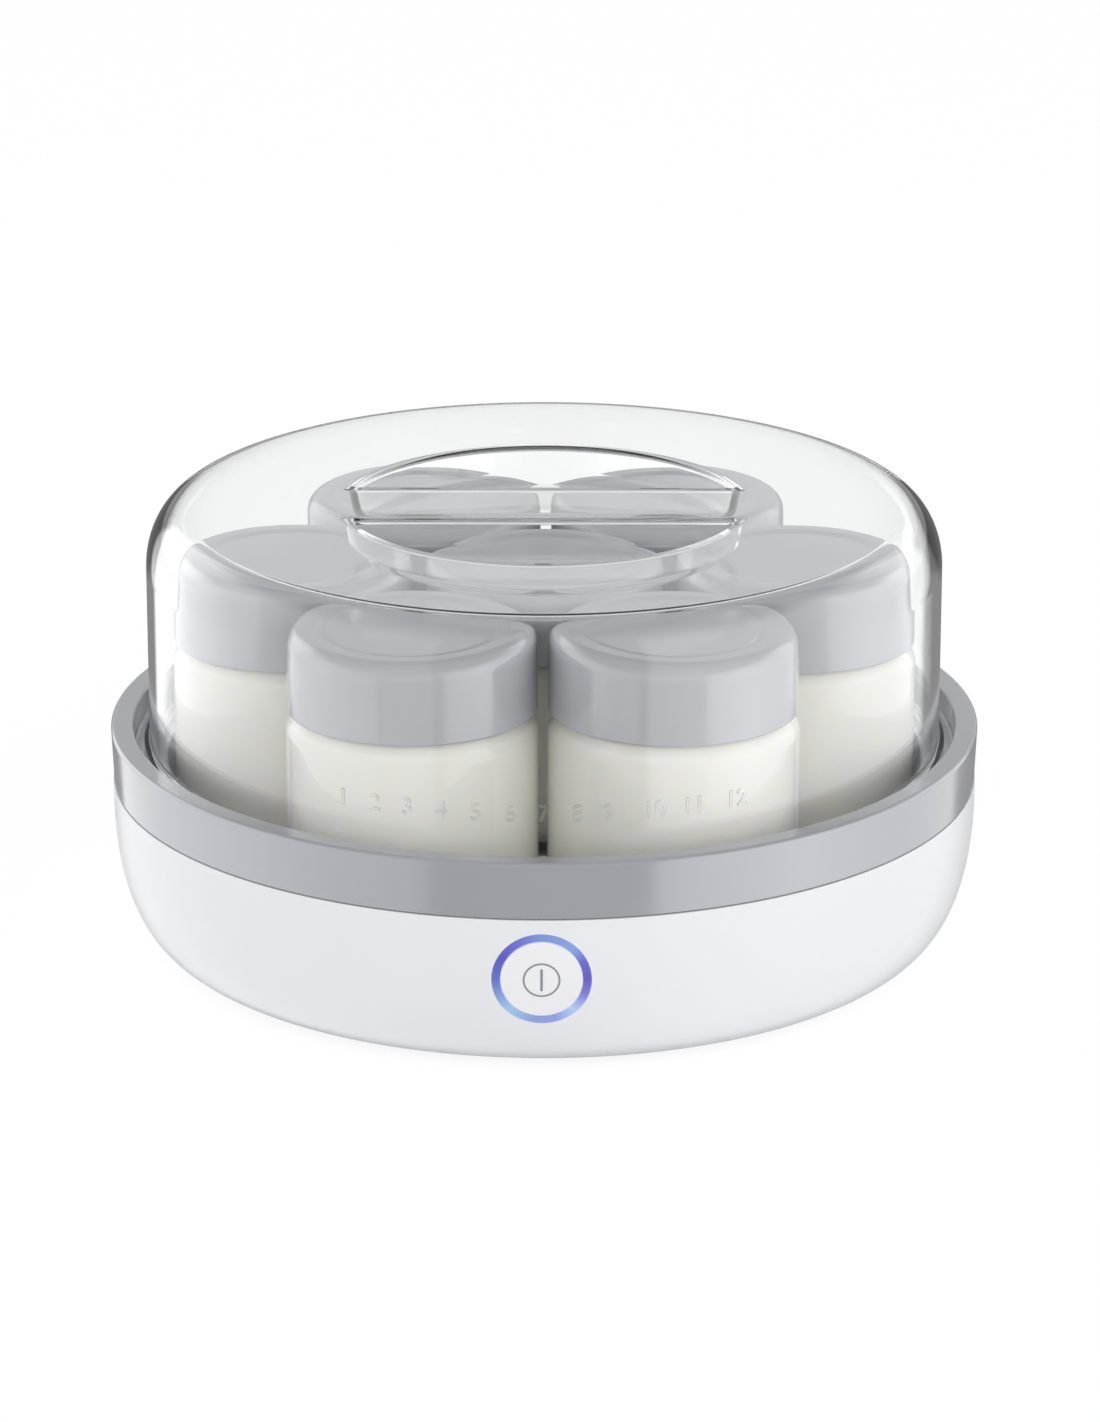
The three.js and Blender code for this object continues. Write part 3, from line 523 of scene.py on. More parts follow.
MAKERS = {
    "white_plastic": lambda n: moulded(n, linear(243, 244, 246), 0.34, 0.008, 30, 1100),
    "button_plastic": lambda n: moulded(n, linear(250, 250, 252), 0.34, 0.008, 90, 1500),
    "grey_plastic": lambda n: moulded(n, linear(181, 182, 188), 0.15, 0.012, 28, 1200, 8e-7, Metallic=0.25),
    "lid_plastic": lambda n: moulded(n, linear(192, 193, 198), 0.15, 0.012, 40, 1200, 5e-7, Metallic=0.14),
    "clear_plastic": lambda n: see_through(n, (0.992, 0.995, 0.996, 1), 0.012, 1.49, 4e-6),
    "jar_glass": lambda n: see_through(n, (0.994, 0.999, 0.988, 1), 0.01, 1.5, 1.2e-5),
    "yogurt": yogurt_material,
    "light_guide": lit_ring,
    "led_lens": lambda n: moulded(n, (0.85, 0.88, 0.7, 1), 0.12, 0.02, 600),
    "black_rubber": lambda n: moulded(n, (0.022, 0.022, 0.024, 1), 0.72, 0.2, 200, 2600, 3e-5),
    "aluminium_plate": lambda n: metal(n, (0.75, 0.76, 0.78, 1), 0.34, 60),
    "fuse_metal": lambda n: metal(n, (0.72, 0.72, 0.74, 1), 0.25, 200),
    "spring_steel": lambda n: metal(n, (0.58, 0.58, 0.6, 1), 0.28, 260),
    "screw_steel": lambda n: metal(n, (0.6, 0.61, 0.63, 1), 0.3, 500),
    "silicone_sleeve": lambda n: moulded(n, (0.56, 0.43, 0.26, 1), 0.6, 0.08, 150, 1800, 2e-5),
    "circuit_board": board_material,
    "black_plastic": lambda n: moulded(n, (0.02, 0.02, 0.023, 1), 0.5, 0.15, 250, 2400, 2e-5),
    "blue_plastic": lambda n: moulded(n, (0.03, 0.1, 0.38, 1), 0.3, 0.08, 150, 2000),
    "green_plastic": lambda n: moulded(n, (0.06, 0.28, 0.12, 1), 0.45, 0.08, 150, 2000, 1e-5),
    "grey_wire": lambda n: moulded(n, (0.36, 0.37, 0.39, 1), 0.5, 0.1, 400, 2500, 1e-5),
    "blue_wire": lambda n: moulded(n, (0.03, 0.07, 0.36, 1), 0.45, 0.1, 400, 2500, 1e-5),
    "red_wire": lambda n: moulded(n, (0.45, 0.035, 0.025, 1), 0.45, 0.1, 400, 2500, 1e-5),
    "black_wire": lambda n: moulded(n, (0.02, 0.02, 0.022, 1), 0.5, 0.15, 400, 2500, 1e-5),
}
finishes = {}


def finish(slot):
    if slot not in finishes:
        finishes[slot] = MAKERS[slot](slot)
    return finishes[slot]


# ---------------------------------------------------------------- white base
def bowl_radius(height):
    """Radius of the bowl's outer surface at a height."""
    share = min(1.0, max(0.0, (height - FOOT_HEIGHT) / SHELL_CURVE_HEIGHT))
    out = (1 - (1 - share) ** SHELL_CURVE_POWER) ** (1 / SHELL_CURVE_POWER)
    return SHELL_FLAT_RADIUS + (SHELL_RADIUS - SHELL_FLAT_RADIUS) * out


def bowl_normal(point):
    """Outward normal of the bowl at a point on it."""
    share = min(1.0, max(0.0, (point[2] - FOOT_HEIGHT) / SHELL_CURVE_HEIGHT))
    radius = math.hypot(point[0], point[1])
    width = SHELL_RADIUS - SHELL_FLAT_RADIUS
    out = max(0.0, min(1.0, (radius - SHELL_FLAT_RADIUS) / width))
    across = out ** (SHELL_CURVE_POWER - 1) / width
    down = (1 - share) ** (SHELL_CURVE_POWER - 1) / SHELL_CURVE_HEIGHT
    scale = across / max(radius, 1e-6)
    return Vector((point[0] * scale, point[1] * scale, -down)).normalized()


def bowl_outline(inset, steps):
    """Points up the bowl's wall, moved in from its surface."""
    points = []
    for k in range(steps + 1):
        turn = (math.pi / 2) * k / steps
        out = math.sin(turn) ** (2 / SHELL_CURVE_POWER)
        down = math.cos(turn) ** (2 / SHELL_CURVE_POWER)
        radius = SHELL_FLAT_RADIUS + (SHELL_RADIUS - SHELL_FLAT_RADIUS) * out
        height = FOOT_HEIGHT + SHELL_CURVE_HEIGHT * (1 - down)
        normal = bowl_normal((radius, 0, height))
        points.append((radius - inset * normal.x, height - inset * normal.z))
    return points


def cylinder(radius, bottom, top, steps, at=(0, 0)):
    mesh = turned("cylinder", [(0, bottom), (radius, bottom), (radius, top), (0, top)], steps)
    for v in mesh.vertices:
        v.co.x += at[0] * MM
        v.co.y += at[1] * MM
    return mesh


def on_circle(radius, degrees):
    """Point on a circle round the axis, from +X towards +Y."""
    return radius * math.cos(math.radians(degrees)), radius * math.sin(math.radians(degrees))


def base_shell():
    lip_inner = SHELL_LIP_RADIUS - 2.2
    outline = [(0, FOOT_HEIGHT)]
    outline += bowl_outline(0, 44)
    outline += rounded(
        [
            (SHELL_RADIUS, SHELL_SHOULDER - 2),
            (SHELL_RADIUS, SHELL_SHOULDER, 0.15),
            (SHELL_LIP_RADIUS, SHELL_SHOULDER),
            (SHELL_LIP_RADIUS, SHELL_LIP_TOP, 0.5),
            (lip_inner, SHELL_LIP_TOP, 0.5),
            (lip_inner, SHELL_SHOULDER),
        ],
        4,
    )
    outline += bowl_outline(SHELL_WALL, 24)[::-1]
    outline += [(0, FOOT_HEIGHT + SHELL_WALL)]
    body = turned("base_shell", outline, 240)
    sunk = FOOT_HEIGHT + 1  # the bosses start inside the floor
    bosses = [cylinder(5.5, sunk, 8, 32, on_circle(SCREW_CIRCLE, a)) for a in SCREW_ANGLES]
    bosses += [cylinder(3.5, sunk, 8, 24, (x, -97)) for x in (-12.5, 12.5)]  # under the board bracket
    bosses += [cylinder(3, sunk, 9, 24, (x, y)) for x in (-30, 30) for y in (23, 61)]  # power board
    cuts = []
    for number in range(1, 5):
        low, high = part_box(f"foot_{number}")
        centre = (low + high) / 2 / MM
        cuts.append(cylinder(FOOT_RADIUS + 0.3, 0, FOOT_HEIGHT + 1, 64, (centre.x, centre.y)))
    for a in SCREW_ANGLES:
        cuts.append(cylinder(3.5, 0, 4, 48, on_circle(SCREW_CIRCLE, a)))
        cuts.append(cylinder(1.9, 3.5, 9, 24, on_circle(SCREW_CIRCLE, a)))
    cuts.append(forward(cylinder(APERTURE, 100, 130, 128), BUTTON_HEIGHT))
    cuts.append(forward(cylinder(GLAND_NECK + 0.3, -130, -100, 64), GLAND_HEIGHT))
    mesh = combined(combined(body, bosses, "UNION"), cuts, "DIFFERENCE")

    def surface(point, normal):
        radius = math.hypot(point.x, point.y)
        if point.z > SHELL_SHOULDER - 0.16 or abs(radius - bowl_radius(point.z)) > 0.02:
            return Vector((0, 0, -1)) if point.z < FOOT_HEIGHT + 0.01 else None
        return bowl_normal(point)

    relight(mesh, surface)
    piece(placed("base_shell_smooth", mesh), "base", "white_plastic", ["base_shell"])


def upper_housing():
    outer = WELL_RADIUS + HOUSING_WALL + 0.2
    skirt = SHELL_LIP_RADIUS + 0.3
    under = RIM_TOP - HOUSING_WALL
    outline = rounded(
        [
            (0, WELL_FLOOR - HOUSING_WALL),
            (outer, WELL_FLOOR - HOUSING_WALL, 2.5),
            (outer, SHELF_TOP - HOUSING_WALL, 0.8),
            (RIM_INNER_RADIUS + HOUSING_WALL, SHELF_TOP - HOUSING_WALL, 0.8),
            (RIM_INNER_RADIUS + HOUSING_WALL, under, 0.5),
            (skirt, under, 0.5),
            (skirt, RIM_BOTTOM, 0.15),
            (RIM_RADIUS - 0.65, RIM_BOTTOM, 0.15),
            (RIM_RADIUS, RIM_TOP, 1.1),
            (RIM_INNER_RADIUS, RIM_TOP, 0.9),
            (RIM_INNER_RADIUS, SHELF_TOP, 0.8),
            (WELL_RADIUS, SHELF_TOP, 1.0),
            (WELL_RADIUS, WELL_FLOOR, 3.0),
            (0, WELL_FLOOR),
        ],
        7,
    )
    body = turned("upper_housing", outline, 256)
    piece(placed("upper_housing_smooth", body), "base", "grey_plastic", ["upper_housing"])


# ---------------------------------------------------------------- clear cover
def pocket_outline(grow):
    """The front pocket's D seen from above, anticlockwise: points, outward normals and how fast
    each point moves out as the D grows."""
    inner = POCKET_RADIUS + grow - POCKET_CORNER
    corner_y = BAR_HALF - grow + POCKET_CORNER
    corner_x = math.sqrt(inner**2 - corner_y**2)
    lean = math.degrees(math.atan2(corner_y, corner_x))
    widen = (inner + corner_y) / corner_x
    spots = []
    for k in range(73):
        spots.append((0, 0, POCKET_RADIUS + grow, math.radians(180 + lean + (180 - 2 * lean) * k / 72), 1))
    for side, start in ((1, -lean), (-1, 90)):
        for k in range(1, 13):
            a = math.radians(start + (90 + lean) * k / 12)
            pace = widen * abs(math.cos(a)) + math.sin(a)
            spots.append((side * corner_x, -corner_y, POCKET_CORNER, a, pace))
    points = []
    for cx, cy, radius, a, pace in spots[:-1]:
        c, s = math.cos(a), math.sin(a)
        points.append((cx + radius * c, cy + radius * s, c, s, pace))
    return points


def pocket_loop(grow, side):
    """The outline's bare (x, y) points, for the front pocket or, with side -1, the back one."""
    return [(x * side, y * side) for x, y, *_ in pocket_outline(grow)]


def pocket_rows(skin, profile, side, facing):
    """Adds a pocket's wall. The profile runs from the flat top down to the floor as (grow, height)."""
    ends = outline_normals(profile)
    for (grow0, z0), (grow1, z1), (first, last) in zip(profile, profile[1:], ends):
        row0, row1 = pocket_outline(grow0), pocket_outline(grow1)
        for k in range(len(row0)):
            m = (k + 1) % len(row0)
            corners = []
            upper, lower = (row0, z0, first), (row1, z1, last)
            for (row, z, n), i in ((upper, k), (upper, m), (lower, m), (lower, k)):
                x, y, nx, ny, pace = row[i]
                normal = Vector((nx * n.x * side, ny * n.x * side, n.y * pace)).normalized() * facing
                corners.append(((x * side, y * side, z), tuple(normal)))
            if facing < 0:
                corners.reverse()
            skin.face([c[0] for c in corners], [c[1] for c in corners])
    grow, height = profile[-1]
    add_flat(skin, [pocket_loop(grow, side)], height, facing)


def add_flat(skin, loops, height, facing):
    """Adds a flat region inside the first loop and outside the others."""
    corners = [(x, y) for loop in loops for x, y in loop]
    triangles = tessellate_polygon([[Vector((x, y, 0)) for x, y in loop] for loop in loops])
    for a, b, c in triangles:
        (ax, ay), (bx, by), (cx, cy) = corners[a], corners[b], corners[c]
        turn = (bx - ax) * (cy - ay) - (by - ay) * (cx - ax)
        points = [(ax, ay, height), (bx, by, height), (cx, cy, height)]
        if turn * facing < 0:
            points.reverse()
        skin.face(points, [(0, 0, facing)] * 3)


def shoulder(inset, down):
    """The cover's shoulder from its wall up to its flat top, as a quarter of an ellipse."""
    points = []
    for k in range(29):
        turn = (math.pi / 2) * k / 28
        across = COVER_RADIUS - COVER_SHOULDER_WIDTH + (COVER_SHOULDER_WIDTH - inset) * math.cos(turn)
        up = COVER_TOP - COVER_SHOULDER_HEIGHT + (COVER_SHOULDER_HEIGHT - down) * math.sin(turn)
        points.append((across, up))
    return points


def cover():
    steps = 256
    skin = Skin()
    inner = COVER_RADIUS - COVER_WALL
    ceiling = COVER_TOP - TOP_WALL
    bead = COVER_RADIUS + 1.6
    foot = rounded(
        [
            (inner, COVER_BOTTOM + 20),
            (inner, COVER_BOTTOM, 0.4),
            (bead, COVER_BOTTOM, 0.5),
            (bead, COVER_BOTTOM + 2, 0.7),
            (COVER_RADIUS, COVER_BOTTOM + 3.6, 1.2),
            (COVER_RADIUS, COVER_BOTTOM + 20),
        ],
        8,
    )
    outline = [(COVER_FLAT_RING, ceiling), *shoulder(COVER_WALL, TOP_WALL)[::-1], *foot[1:-1]]
    turn_outline(skin, [*outline, *shoulder(0, 0), (COVER_FLAT_RING, COVER_TOP)], steps)
    top = rounded(
        [(1.6, COVER_TOP), (0, COVER_TOP, 0.9), (-POCKET_DRAFT, POCKET_FLOOR, 3.0), (-5.5, POCKET_FLOOR)],
        10,
    )
    under = rounded(
        [
            (TOP_WALL + 1.6, ceiling),
            (TOP_WALL, ceiling, 1.2),
            (TOP_WALL - POCKET_DRAFT, POCKET_FLOOR - TOP_WALL, 4.5),
            (-5.5, POCKET_FLOOR - TOP_WALL),
        ],
        10,
    )
    ring = [on_circle(COVER_FLAT_RING, 360 * k / steps) for k in range(steps)]
    for profile, height, facing in ((top, COVER_TOP, 1), (under, ceiling, -1)):
        holes = []
        for side in (1, -1):
            pocket_rows(skin, profile, side, facing)
            holes.append(pocket_loop(profile[0][0], side))
        add_flat(skin, [ring, *holes], height, facing)
    piece(placed("cover_smooth", skin.mesh("cover")), "cover", "clear_plastic", ["cover"])


def hour_numbers():
    """The reminder scale on the cover's front: the numbers 1 to 12, moulded a little proud."""
    gathered = bmesh.new()
    for hour, angle in enumerate(HOUR_ANGLES, 1):
        text = bpy.data.curves.new("hour", "FONT")
        text.body = str(hour)
        text.size = HOUR_SIZE * MM
        text.align_x = "CENTER"
        text.align_y = "CENTER"
        text.extrude = HOUR_PROUD / 2 * MM
        text.bevel_depth = 0.04 * MM
        text.bevel_resolution = 1
        text.offset = -0.04 * MM
        text.resolution_u = 5
        obj = placed("hour", text)
        bpy.context.view_layer.update()
        flat = bpy.data.meshes.new_from_object(obj.evaluated_get(bpy.context.evaluated_depsgraph_get()))
        bpy.data.objects.remove(obj)
        for v in flat.vertices:
            turn = math.radians(angle) + v.co.x / (COVER_RADIUS * MM)
            radius = (COVER_RADIUS + HOUR_PROUD / 2) * MM + v.co.z
            v.co = (radius * math.sin(turn), -radius * math.cos(turn), HOUR_HEIGHT * MM + v.co.y)
        gathered.from_mesh(flat)
    bmesh.ops.remove_doubles(gathered, verts=gathered.verts, dist=2e-6)
    mesh = bpy.data.meshes.new("hour_numbers")
    gathered.to_mesh(mesh)
    gathered.free()
    piece(placed("hour_numbers", mesh), "cover", "clear_plastic")


# ---------------------------------------------------------------- jars
def jar_mesh():
    inner = JAR_RADIUS - JAR_WALL
    neck_inner = NECK_RADIUS - JAR_WALL
    outline = rounded(
        [
            (0, JAR_BOTTOM + 1.6),
            (23.0, JAR_BOTTOM + 1.2, 8),
            (25.5, JAR_BOTTOM, 0.8),
            (JAR_RADIUS, JAR_BOTTOM, 4.6),
            (JAR_RADIUS, JAR_SHOULDER - 0.6, 5),
            (NECK_RADIUS, NECK_BOTTOM - 0.4, 1.2),
            (NECK_RADIUS, JAR_RIM, 1.0),
            (neck_inner, JAR_RIM, 1.0),
            (neck_inner, NECK_BOTTOM, 4),
            (inner, JAR_SHOULDER, 4),
            (inner, JAR_FLOOR, 5.5),
            (0, JAR_FLOOR - 0.4),
        ],
        8,
    )
    return turned("jar_glass_body", outline, 112)


def yogurt_mesh():
    """The filling touches the glass all the way up, and its top edge clings a little."""
    into = 0.06
    inner = JAR_RADIUS - JAR_WALL + into
    neck_inner = NECK_RADIUS - JAR_WALL + into
    outline = rounded(
        [
            (0, JAR_FLOOR - 0.4 - into),
            (inner, JAR_FLOOR - into, 5.5),
            (inner, JAR_SHOULDER + into, 4),
            (neck_inner, NECK_BOTTOM + into, 4),
            (neck_inner, YOGURT_TOP + 0.9),
            (neck_inner - 0.9, YOGURT_TOP, 1.2),
            (0, YOGURT_TOP - 0.3),
        ],
        8,
    )
    return turned("yogurt_filling", outline, 112)


def lid_mesh():
    inner = LID_RADIUS - LID_WALL
    outline = rounded(
        [
            (0, LID_TOP - 2),
            (inner, LID_TOP - 2, 1.0),
            (inner, LID_BOTTOM, 0.3),
            (LID_RADIUS + 0.1, LID_BOTTOM, 0.45),
            (LID_RADIUS - 0.2, LID_TOP, 4.6),
            (LID_RADIUS - 7.4, LID_TOP, 2.0),
            (LID_RADIUS - 10.0, LID_TOP - 0.5, 3.0),
            (0, LID_TOP - 0.4),
        ],
        9,
    )
    return turned("jar_lid", outline, 128)


def jars():
    glass, filling, lid = jar_mesh(), yogurt_mesh(), lid_mesh()
    for number in range(1, 8):
        low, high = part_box(f"jar_{number}")
        centre = (low + high) / 2 / MM
        at = (centre.x, centre.y, 0)
        body = f"jar_{number}"
        piece(placed(f"jar_glass_{number}", glass, at), body, "jar_glass", [body])
        piece(placed(f"yogurt_fill_{number}", filling, at), body, "yogurt", [f"yogurt_{number}"])
        top = placed(f"lid_smooth_{number}", lid, at)
        piece(top, f"lid_{number}", "lid_plastic", [f"lid_{number}"])


# ---------------------------------------------------------------- button and light
def bowl_front(x, height):
    """How far in front of the axis the bowl's surface lies there."""
    return math.sqrt(bowl_radius(height) ** 2 - x * x)


def facing_front(name, profile, steps):
    """A turned piece about the button's axis. Each (radius, depth, follow) point lies depth
    behind the bowl's surface where follow is 1, and depth behind the centre where it is 0."""
    middle = bowl_front(0, BUTTON_HEIGHT)
    mesh = bpy.data.meshes.new(name)
    points, faces, rows = [], [], []
    for radius, depth, follow in profile:
        row = []
        for k in range(steps if radius > 0 else 1):
            x, up = on_circle(radius, 360 * k / steps)
            y = follow * bowl_front(x, BUTTON_HEIGHT + up) + (1 - follow) * middle - depth
            row.append(len(points))
            points.append((x * MM, -y * MM, (BUTTON_HEIGHT + up) * MM))
        rows.append(row)
    for first, second in zip(rows, rows[1:]):
        for k in range(steps):
            m = (k + 1) % steps
            quad = [row[i % len(row)] for row, i in ((first, k), (first, m), (second, m), (second, k))]
            faces.append(list(dict.fromkeys(quad)))
    mesh.from_pydata(points, [], faces)
    mesh.update()
    return mesh


def on_bowl(point, normal):
    """The bowl's normal for the parts of a cut mesh that face forward."""
    return bowl_normal(point) if normal.y < -0.2 else None


def rounded_face(inner, outer, bend, rings, back):
    """Profile across a front face with rounded edges that follows the bowl, then back to a depth."""
    profile = []
    if inner > 0:
        profile += [(inner, back, 0), (inner, bend, 1)]
        for k in range(1, 6):
            a = math.radians(90 * k / 5)
            profile.append((inner + bend * (1 - math.cos(a)), bend * (1 - math.sin(a)), 1))
    else:
        profile.append((0, 0, 1))
    start, end = (inner + bend if inner > 0 else 0), outer - bend
    for k in range(1, rings + 1):
        profile.append((start + (end - start) * k / rings, 0, 1))
    for k in range(1, 6):
        a = math.radians(90 * k / 5)
        profile.append((end + bend * math.sin(a), bend * (1 - math.cos(a)), 1))
    profile.append((outer, back, 0))
    return profile


def light_ring():
    profile = rounded_face(RING_INNER, RING_OUTER, 0.35, 4, 5.0)
    profile += [(14.2, 5.0, 0), (14.2, 6.4, 0), (RING_INNER, 6.4, 0), (RING_INNER, 5.0, 0)]
    mesh = facing_front("light_ring", profile, 160)
    clean_and_close(mesh)
    relight(mesh, on_bowl)
    piece(placed("light_ring_smooth", mesh), "base", "light_guide", ["light_ring"])


def clean_and_close(mesh):
    """Merges doubled points and turns all faces outward."""
    work = bmesh.new()
    work.from_mesh(mesh)
    bmesh.ops.remove_doubles(work, verts=work.verts, dist=1e-7)
    bmesh.ops.recalc_face_normals(work, faces=work.faces)
    work.to_mesh(mesh)
    work.free()


def power_button():
    middle = bowl_front(0, BUTTON_HEIGHT)
    low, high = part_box("power_button")
    stem_back = middle + high.y / MM
    profile = rounded_face(0, BUTTON_RADIUS, 0.45, 22, 5.2)
    profile += [(9.1, 5.2, 0), (9.1, 2.6, 0), (2.0, 2.6, 0), (2.0, stem_back, 0), (0, stem_back, 0)]
    mesh = facing_front("power_button", profile, 160)
    clean_and_close(mesh)
    relight(mesh, on_bowl)
    piece(placed("power_button_smooth", mesh), "button", "button_plastic", ["power_button"])


def on_button(skin, outer_loop, inner_loop, proud, hollow):
    """Adds a thin printed mark between two loops of (x, up) points on the button's face. A mark
    that isn't hollow has its middle line as the inner loop."""

    def spot(x, up, lift):
        return (x, -(bowl_front(x, BUTTON_HEIGHT + up) + lift), BUTTON_HEIGHT + up)

    count = len(outer_loop)
    for k in range(count):
        m = (k + 1) % count
        a, b = outer_loop[k], outer_loop[m]
        d, c = inner_loop[k], inner_loop[m]
        out = bowl_normal(spot(*a, 0))
        for lift, flip in ((proud, 1), (-0.05, -1)):
            quad = [spot(*p, lift) for p in (a, b, c, d)]
            skin.face(quad if flip > 0 else quad[::-1], [tuple(out * flip)] * 4)
        for first, second in ((b, a), (d, c)) if hollow else ((b, a),):
            edge = Vector((second[1] - first[1], 0, first[0] - second[0])).normalized()
            quad = [spot(*first, proud), spot(*second, proud), spot(*second, -0.05), spot(*first, -0.05)]
            skin.face(quad, [tuple(edge)] * 4)


def button_icon():
    """A standing bar in a circle, printed grey."""
    skin = Skin()
    steps = 96
    outer = [on_circle(4.85, 360 * k / steps) for k in range(steps)]
    inner = [on_circle(4.35, 360 * k / steps) for k in range(steps)]
    on_button(skin, outer, inner, 0.03, True)
    half, tall, bend = 0.34, 3.15, 0.2
    edge = []
    for cx, cy, start in ((half, tall, 0), (-half, tall, 90), (-half, -tall, 180), (half, -tall, 270)):
        for k in range(4):
            x, y = on_circle(bend, start + 30 * k)
            edge.append((cx - math.copysign(bend, cx) + x, cy - math.copysign(bend, cy) + y))
        if cy * cx < 0:
            rise = tall - bend
            edge += [(cx, math.copysign(rise, cy) * (1 - 2 * k / 16)) for k in range(1, 16)]
    middle = [(0, max(half - tall, min(tall - half, y))) for x, y in edge]
    on_button(skin, edge, middle, 0.03, False)
    mesh = skin.mesh("button_icon")
    clean_and_close(mesh)
    grey = moulded("icon_ink", linear(150, 152, 156), 0.45, 0.04, 300, 2500, 4e-6)
    piece(placed("button_icon", mesh), "button", "button_plastic", material=grey)


# ---------------------------------------------------------------- feet, screws and cord gland
def feet():
    outline = rounded(
        [
            (0, 0.25),
            (4.2, 0.25, 0.2),
            (4.6, 0, 0.2),
            (FOOT_RADIUS, 0, 0.6),
            (FOOT_RADIUS, FOOT_HEIGHT + 0.7, 0.15),
            (0, FOOT_HEIGHT + 0.7),
        ],
        5,
    )
    mesh = turned("rubber_foot", outline, 72)
    for number in range(1, 5):
        low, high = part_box(f"foot_{number}")
        centre = (low + high) / 2 / MM
        foot = placed(f"foot_smooth_{number}", mesh, (centre.x, centre.y, 0))
        piece(foot, "base", "black_rubber", [f"foot_{number}"])


def screws():
    """Pan-head screws with a cross recess, seen from below in their counterbores."""
    outline = rounded(
        [(0, 0), (2.6, 0.25, 2.5), (3.1, 1.3, 0.4), (3.1, 1.9, 0.1), (1.2, 1.9), (1.2, 14.3), (0, 15.5)], 6
    )
    body = turned("base_screw", outline, 48)
    arms = []
    for wide, deep in ((1.9, 0.42), (0.42, 1.9)):
        bar = bmesh.new()
        bmesh.ops.create_cube(bar, size=1.0)
        for v in bar.verts:
            taper = 1.0 if v.co.z < 0 else 0.55
            v.co = (v.co.x * 2 * wide * taper * MM, v.co.y * 2 * deep * taper * MM, (v.co.z * 2.4 + 0.1) * MM)
        mesh = bpy.data.meshes.new("arm")
        bar.to_mesh(mesh)
        bar.free()
        arms.append(mesh)
    mesh = combined(combined(body, arms[:1], "DIFFERENCE"), arms[1:], "DIFFERENCE")
    relight(mesh, lambda point, normal: None)
    for number in range(1, 5):
        low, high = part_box(f"base_screw_{number}")
        centre = (low + high) / 2 / MM
        screw = placed(f"base_screw_smooth_{number}", mesh, (centre.x, centre.y, low.z / MM))
        piece(screw, "base", "screw_steel", [f"base_screw_{number}"])


def cord_gland():
    """A rubber bush whose outer flange lies close against the bowl's curve."""
    low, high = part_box("cord_gland")
    back, front = high.y / MM, low.y / MM
    outline = rounded(
        [
            (GLAND_HOLE, -back, 0.6),
            (GLAND_HOLE, -front, 0.4),
            (GLAND_FLANGE, -front, 0.5),
            (GLAND_FLANGE, -front - 1.8, 0.3),
            (GLAND_NECK, -front - 1.8),
            (GLAND_NECK, -back + 2),
            (GLAND_FLANGE, -back + 4),
            (GLAND_FLANGE, -back, 0.9),
            (GLAND_HOLE, -back, 0.6),
        ],
        5,
    )
    mesh = forward(turned("cord_gland", outline[::-1][:-1], 64, closed=True), GLAND_HEIGHT)
    beside = [(radius + 0.1, height) for radius, height in bowl_outline(0, 40)]
    # The bowl with room for the neck and the inner flange cuts the outer flange to its curve.
    bowl = turned("bowl", [(0, FOOT_HEIGHT), *beside, (0, 46)], 240)
    neck = forward(cylinder(GLAND_NECK + 0.4, -125, -95, 64), GLAND_HEIGHT)
    inner_flange = forward(cylinder(GLAND_FLANGE + 2, -back + 4.2, -90, 64), GLAND_HEIGHT)
    wall = combined(combined(bowl, [neck], "DIFFERENCE"), [inner_flange], "DIFFERENCE")
    gland = combined(mesh, [wall], "DIFFERENCE")
    relight(gland, lambda point, normal: None)
    piece(placed("cord_gland_smooth", gland), "base", "black_rubber", ["cord_gland"])


# ---------------------------------------------------------------- studio
def studio_floor():
    mesh = bpy.data.meshes.new("floor")
    corners = [(x * FLOOR_HALF, y * FLOOR_HALF, 0) for x, y in ((-1, -1), (1, -1), (1, 1), (-1, 1))]
    mesh.from_pydata(corners, [], [(0, 1, 2, 3)])
    floor = bpy.data.objects.new("floor", mesh)
    scene.collection.objects.link(floor)
    material = bpy.data.materials.new("floor_paper")
    material.use_nodes = True
    tree = material.node_tree
    tree.nodes.remove(tree.nodes["Principled BSDF"])
    seen = tree.nodes.new("ShaderNodeAddShader")
    glow = tree.nodes.new("ShaderNodeEmission")
    glow.inputs["Strength"].default_value = FLOOR_GLOW
    matt = tree.nodes.new("ShaderNodeBsdfDiffuse")
    matt.inputs["Color"].default_value = (FLOOR_SEEN, FLOOR_SEEN, FLOOR_SEEN, 1)
    tree.links.new(glow.outputs[0], seen.inputs[0])
    tree.links.new(matt.outputs[0], seen.inputs[1])
    lit = tree.nodes.new("ShaderNodeBsdfDiffuse")
    lit.inputs["Color"].default_value = (FLOOR_BOUNCE, FLOOR_BOUNCE, FLOOR_BOUNCE * 1.01, 1)
    path = tree.nodes.new("ShaderNodeLightPath")

    # Seen straight through the clear parts the floor is white. Reflections that leave through
    # them miss it, as all reflections do, and show the panels.
    through = tree.nodes.new("ShaderNodeEmission")
    through.inputs["Strength"].default_value = FLOOR_THROUGH
    mirrored = calculate(tree, "GREATER_THAN", path.outputs["Glossy Depth"], 0.5)
    beyond = blended(tree, mirrored, through, tree.nodes.new("ShaderNodeBsdfTransparent"))
    clear = blended(tree, path.outputs["Is Transmission Ray"], lit, beyond)
    mix = blended(tree, path.outputs["Is Camera Ray"], clear, seen)
    tree.links.new(mix.outputs[0], tree.nodes["Material Output"].inputs["Surface"])
    mesh.materials.append(material)
    floor.visible_glossy = False  # reflections show the panels, which reach below the table's edge


def between(tree, value, start, end, low, high):
    node = tree.nodes.new("ShaderNodeMapRange")
    node.interpolation_type = "SMOOTHSTEP"
    for key, number in (("From Min", start), ("From Max", end), ("To Min", low), ("To Max", high)):
        node.inputs[key].default_value = number
    tree.links.new(value, node.inputs["Value"])
    return node.outputs["Result"]


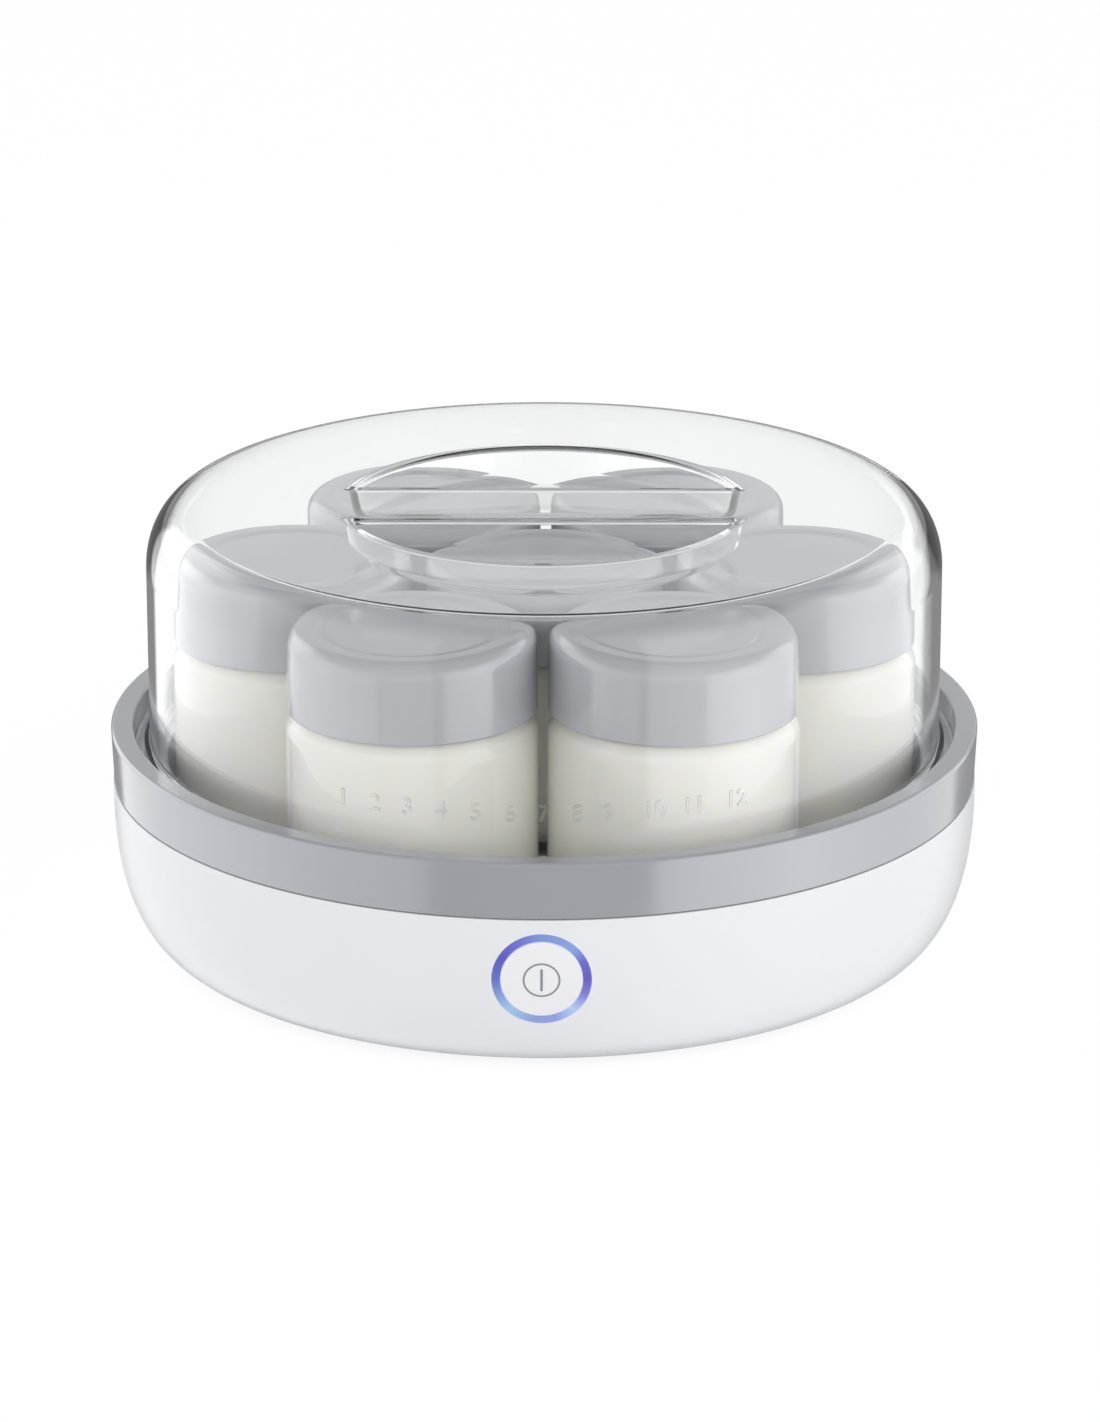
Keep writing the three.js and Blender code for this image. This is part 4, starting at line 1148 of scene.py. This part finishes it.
def panels_around(tree, east, south):
    """Share of the panels' brightness in a direction, from its parts to +X and to -Y."""
    azimuth = calculate(tree, "ARCTAN2", east, south)
    share = calculate(tree, "ADD", calculate(tree, "DIVIDE", azimuth, 2 * math.pi), 0.5)
    ramp = tree.nodes.new("ShaderNodeValToRGB")
    tree.links.new(share, ramp.inputs["Fac"])
    fill_ramp(ramp, [(angle / 360 + 0.5, (bright, bright, bright, 1)) for angle, bright in PANELS])
    return ramp.outputs["Color"]


def studio_light():
    """A room with a broad panel on each side and light from above, as a sky round the scene."""
    world = bpy.data.worlds.new("studio")
    scene.world = world
    world.use_nodes = True
    tree = world.node_tree
    where = tree.nodes.new("ShaderNodeTexCoord")
    split = tree.nodes.new("ShaderNodeSeparateXYZ")
    tree.links.new(where.outputs["Generated"], split.inputs[0])
    up = split.outputs["Z"]
    around = panels_around(tree, split.outputs["X"], calculate(tree, "MULTIPLY", split.outputs["Y"], -1.0))
    around = calculate(tree, "MULTIPLY", around, between(tree, up, 0.5, 0.72, PANEL, 0))
    behind = calculate(
        tree,
        "MULTIPLY",
        between(tree, split.outputs["Y"], 0.2, 0.7, 0, 1),
        between(tree, up, 0.0, 0.05, 0, BACKDROP),
    )
    behind = calculate(tree, "MULTIPLY", behind, between(tree, up, 0.45, 0.62, 1, 0))
    above = between(tree, up, 0.6, 0.95, ROOM, ROOM + OVERHEAD)
    total = calculate(tree, "ADD", calculate(tree, "ADD", around, behind), above)
    background = tree.nodes["Background"]
    tree.links.new(total, background.inputs["Strength"])
    background.inputs["Color"].default_value = (1.0, 1.0, 1.0, 1)


def front_light():
    """A wide soft light beside the camera that shows in no reflection."""
    data = bpy.data.lights.new("front_light", "AREA")
    data.shape = "RECTANGLE"
    data.size, data.size_y = FILL_SIZE
    data.energy = FILL
    light = bpy.data.objects.new("front_light", data)
    light.location = FILL_PLACE
    aim = Vector((0, 0, FILL_TARGET_HEIGHT)) - light.location
    light.rotation_euler = aim.to_track_quat("-Z", "Y").to_euler()
    scene.collection.objects.link(light)
    light.visible_glossy = False
    light.visible_transmission = False
    light.visible_camera = False


def studio_camera():
    data = bpy.data.cameras.new("camera")
    data.lens = LENS
    data.sensor_width = 36.0
    data.sensor_fit = "AUTO"
    data.clip_start, data.clip_end = 0.05, 60
    camera = bpy.data.objects.new("camera", data)
    camera.location = CAMERA_PLACE
    camera.rotation_euler = (math.pi / 2 - CAMERA_DOWN, 0, CAMERA_YAW)
    scene.collection.objects.link(camera)
    scene.camera = camera


def render_settings():
    scene.view_settings.view_transform = "Standard"
    scene.view_settings.look = "None"
    cycles = scene.cycles
    cycles.max_bounces = 32
    cycles.diffuse_bounces = 5
    cycles.glossy_bounces = 24
    cycles.transmission_bounces = 24
    cycles.transparent_max_bounces = 40
    cycles.caustics_reflective = False
    cycles.caustics_refractive = False


# ---------------------------------------------------------------- everything together
base_shell()
upper_housing()
cover()
hour_numbers()
jars()
light_ring()
power_button()
button_icon()
feet()
screws()
cord_gland()

slot_of = {part["node"]: part["material_slot"] for part in frame["record"]["subparts"]}
for name, node in frame["nodes"].items():
    if not node.hide_render:
        node.data.materials.clear()
        node.data.materials.append(finish(slot_of[name]))

studio_floor()
studio_light()
front_light()
studio_camera()
render_settings()
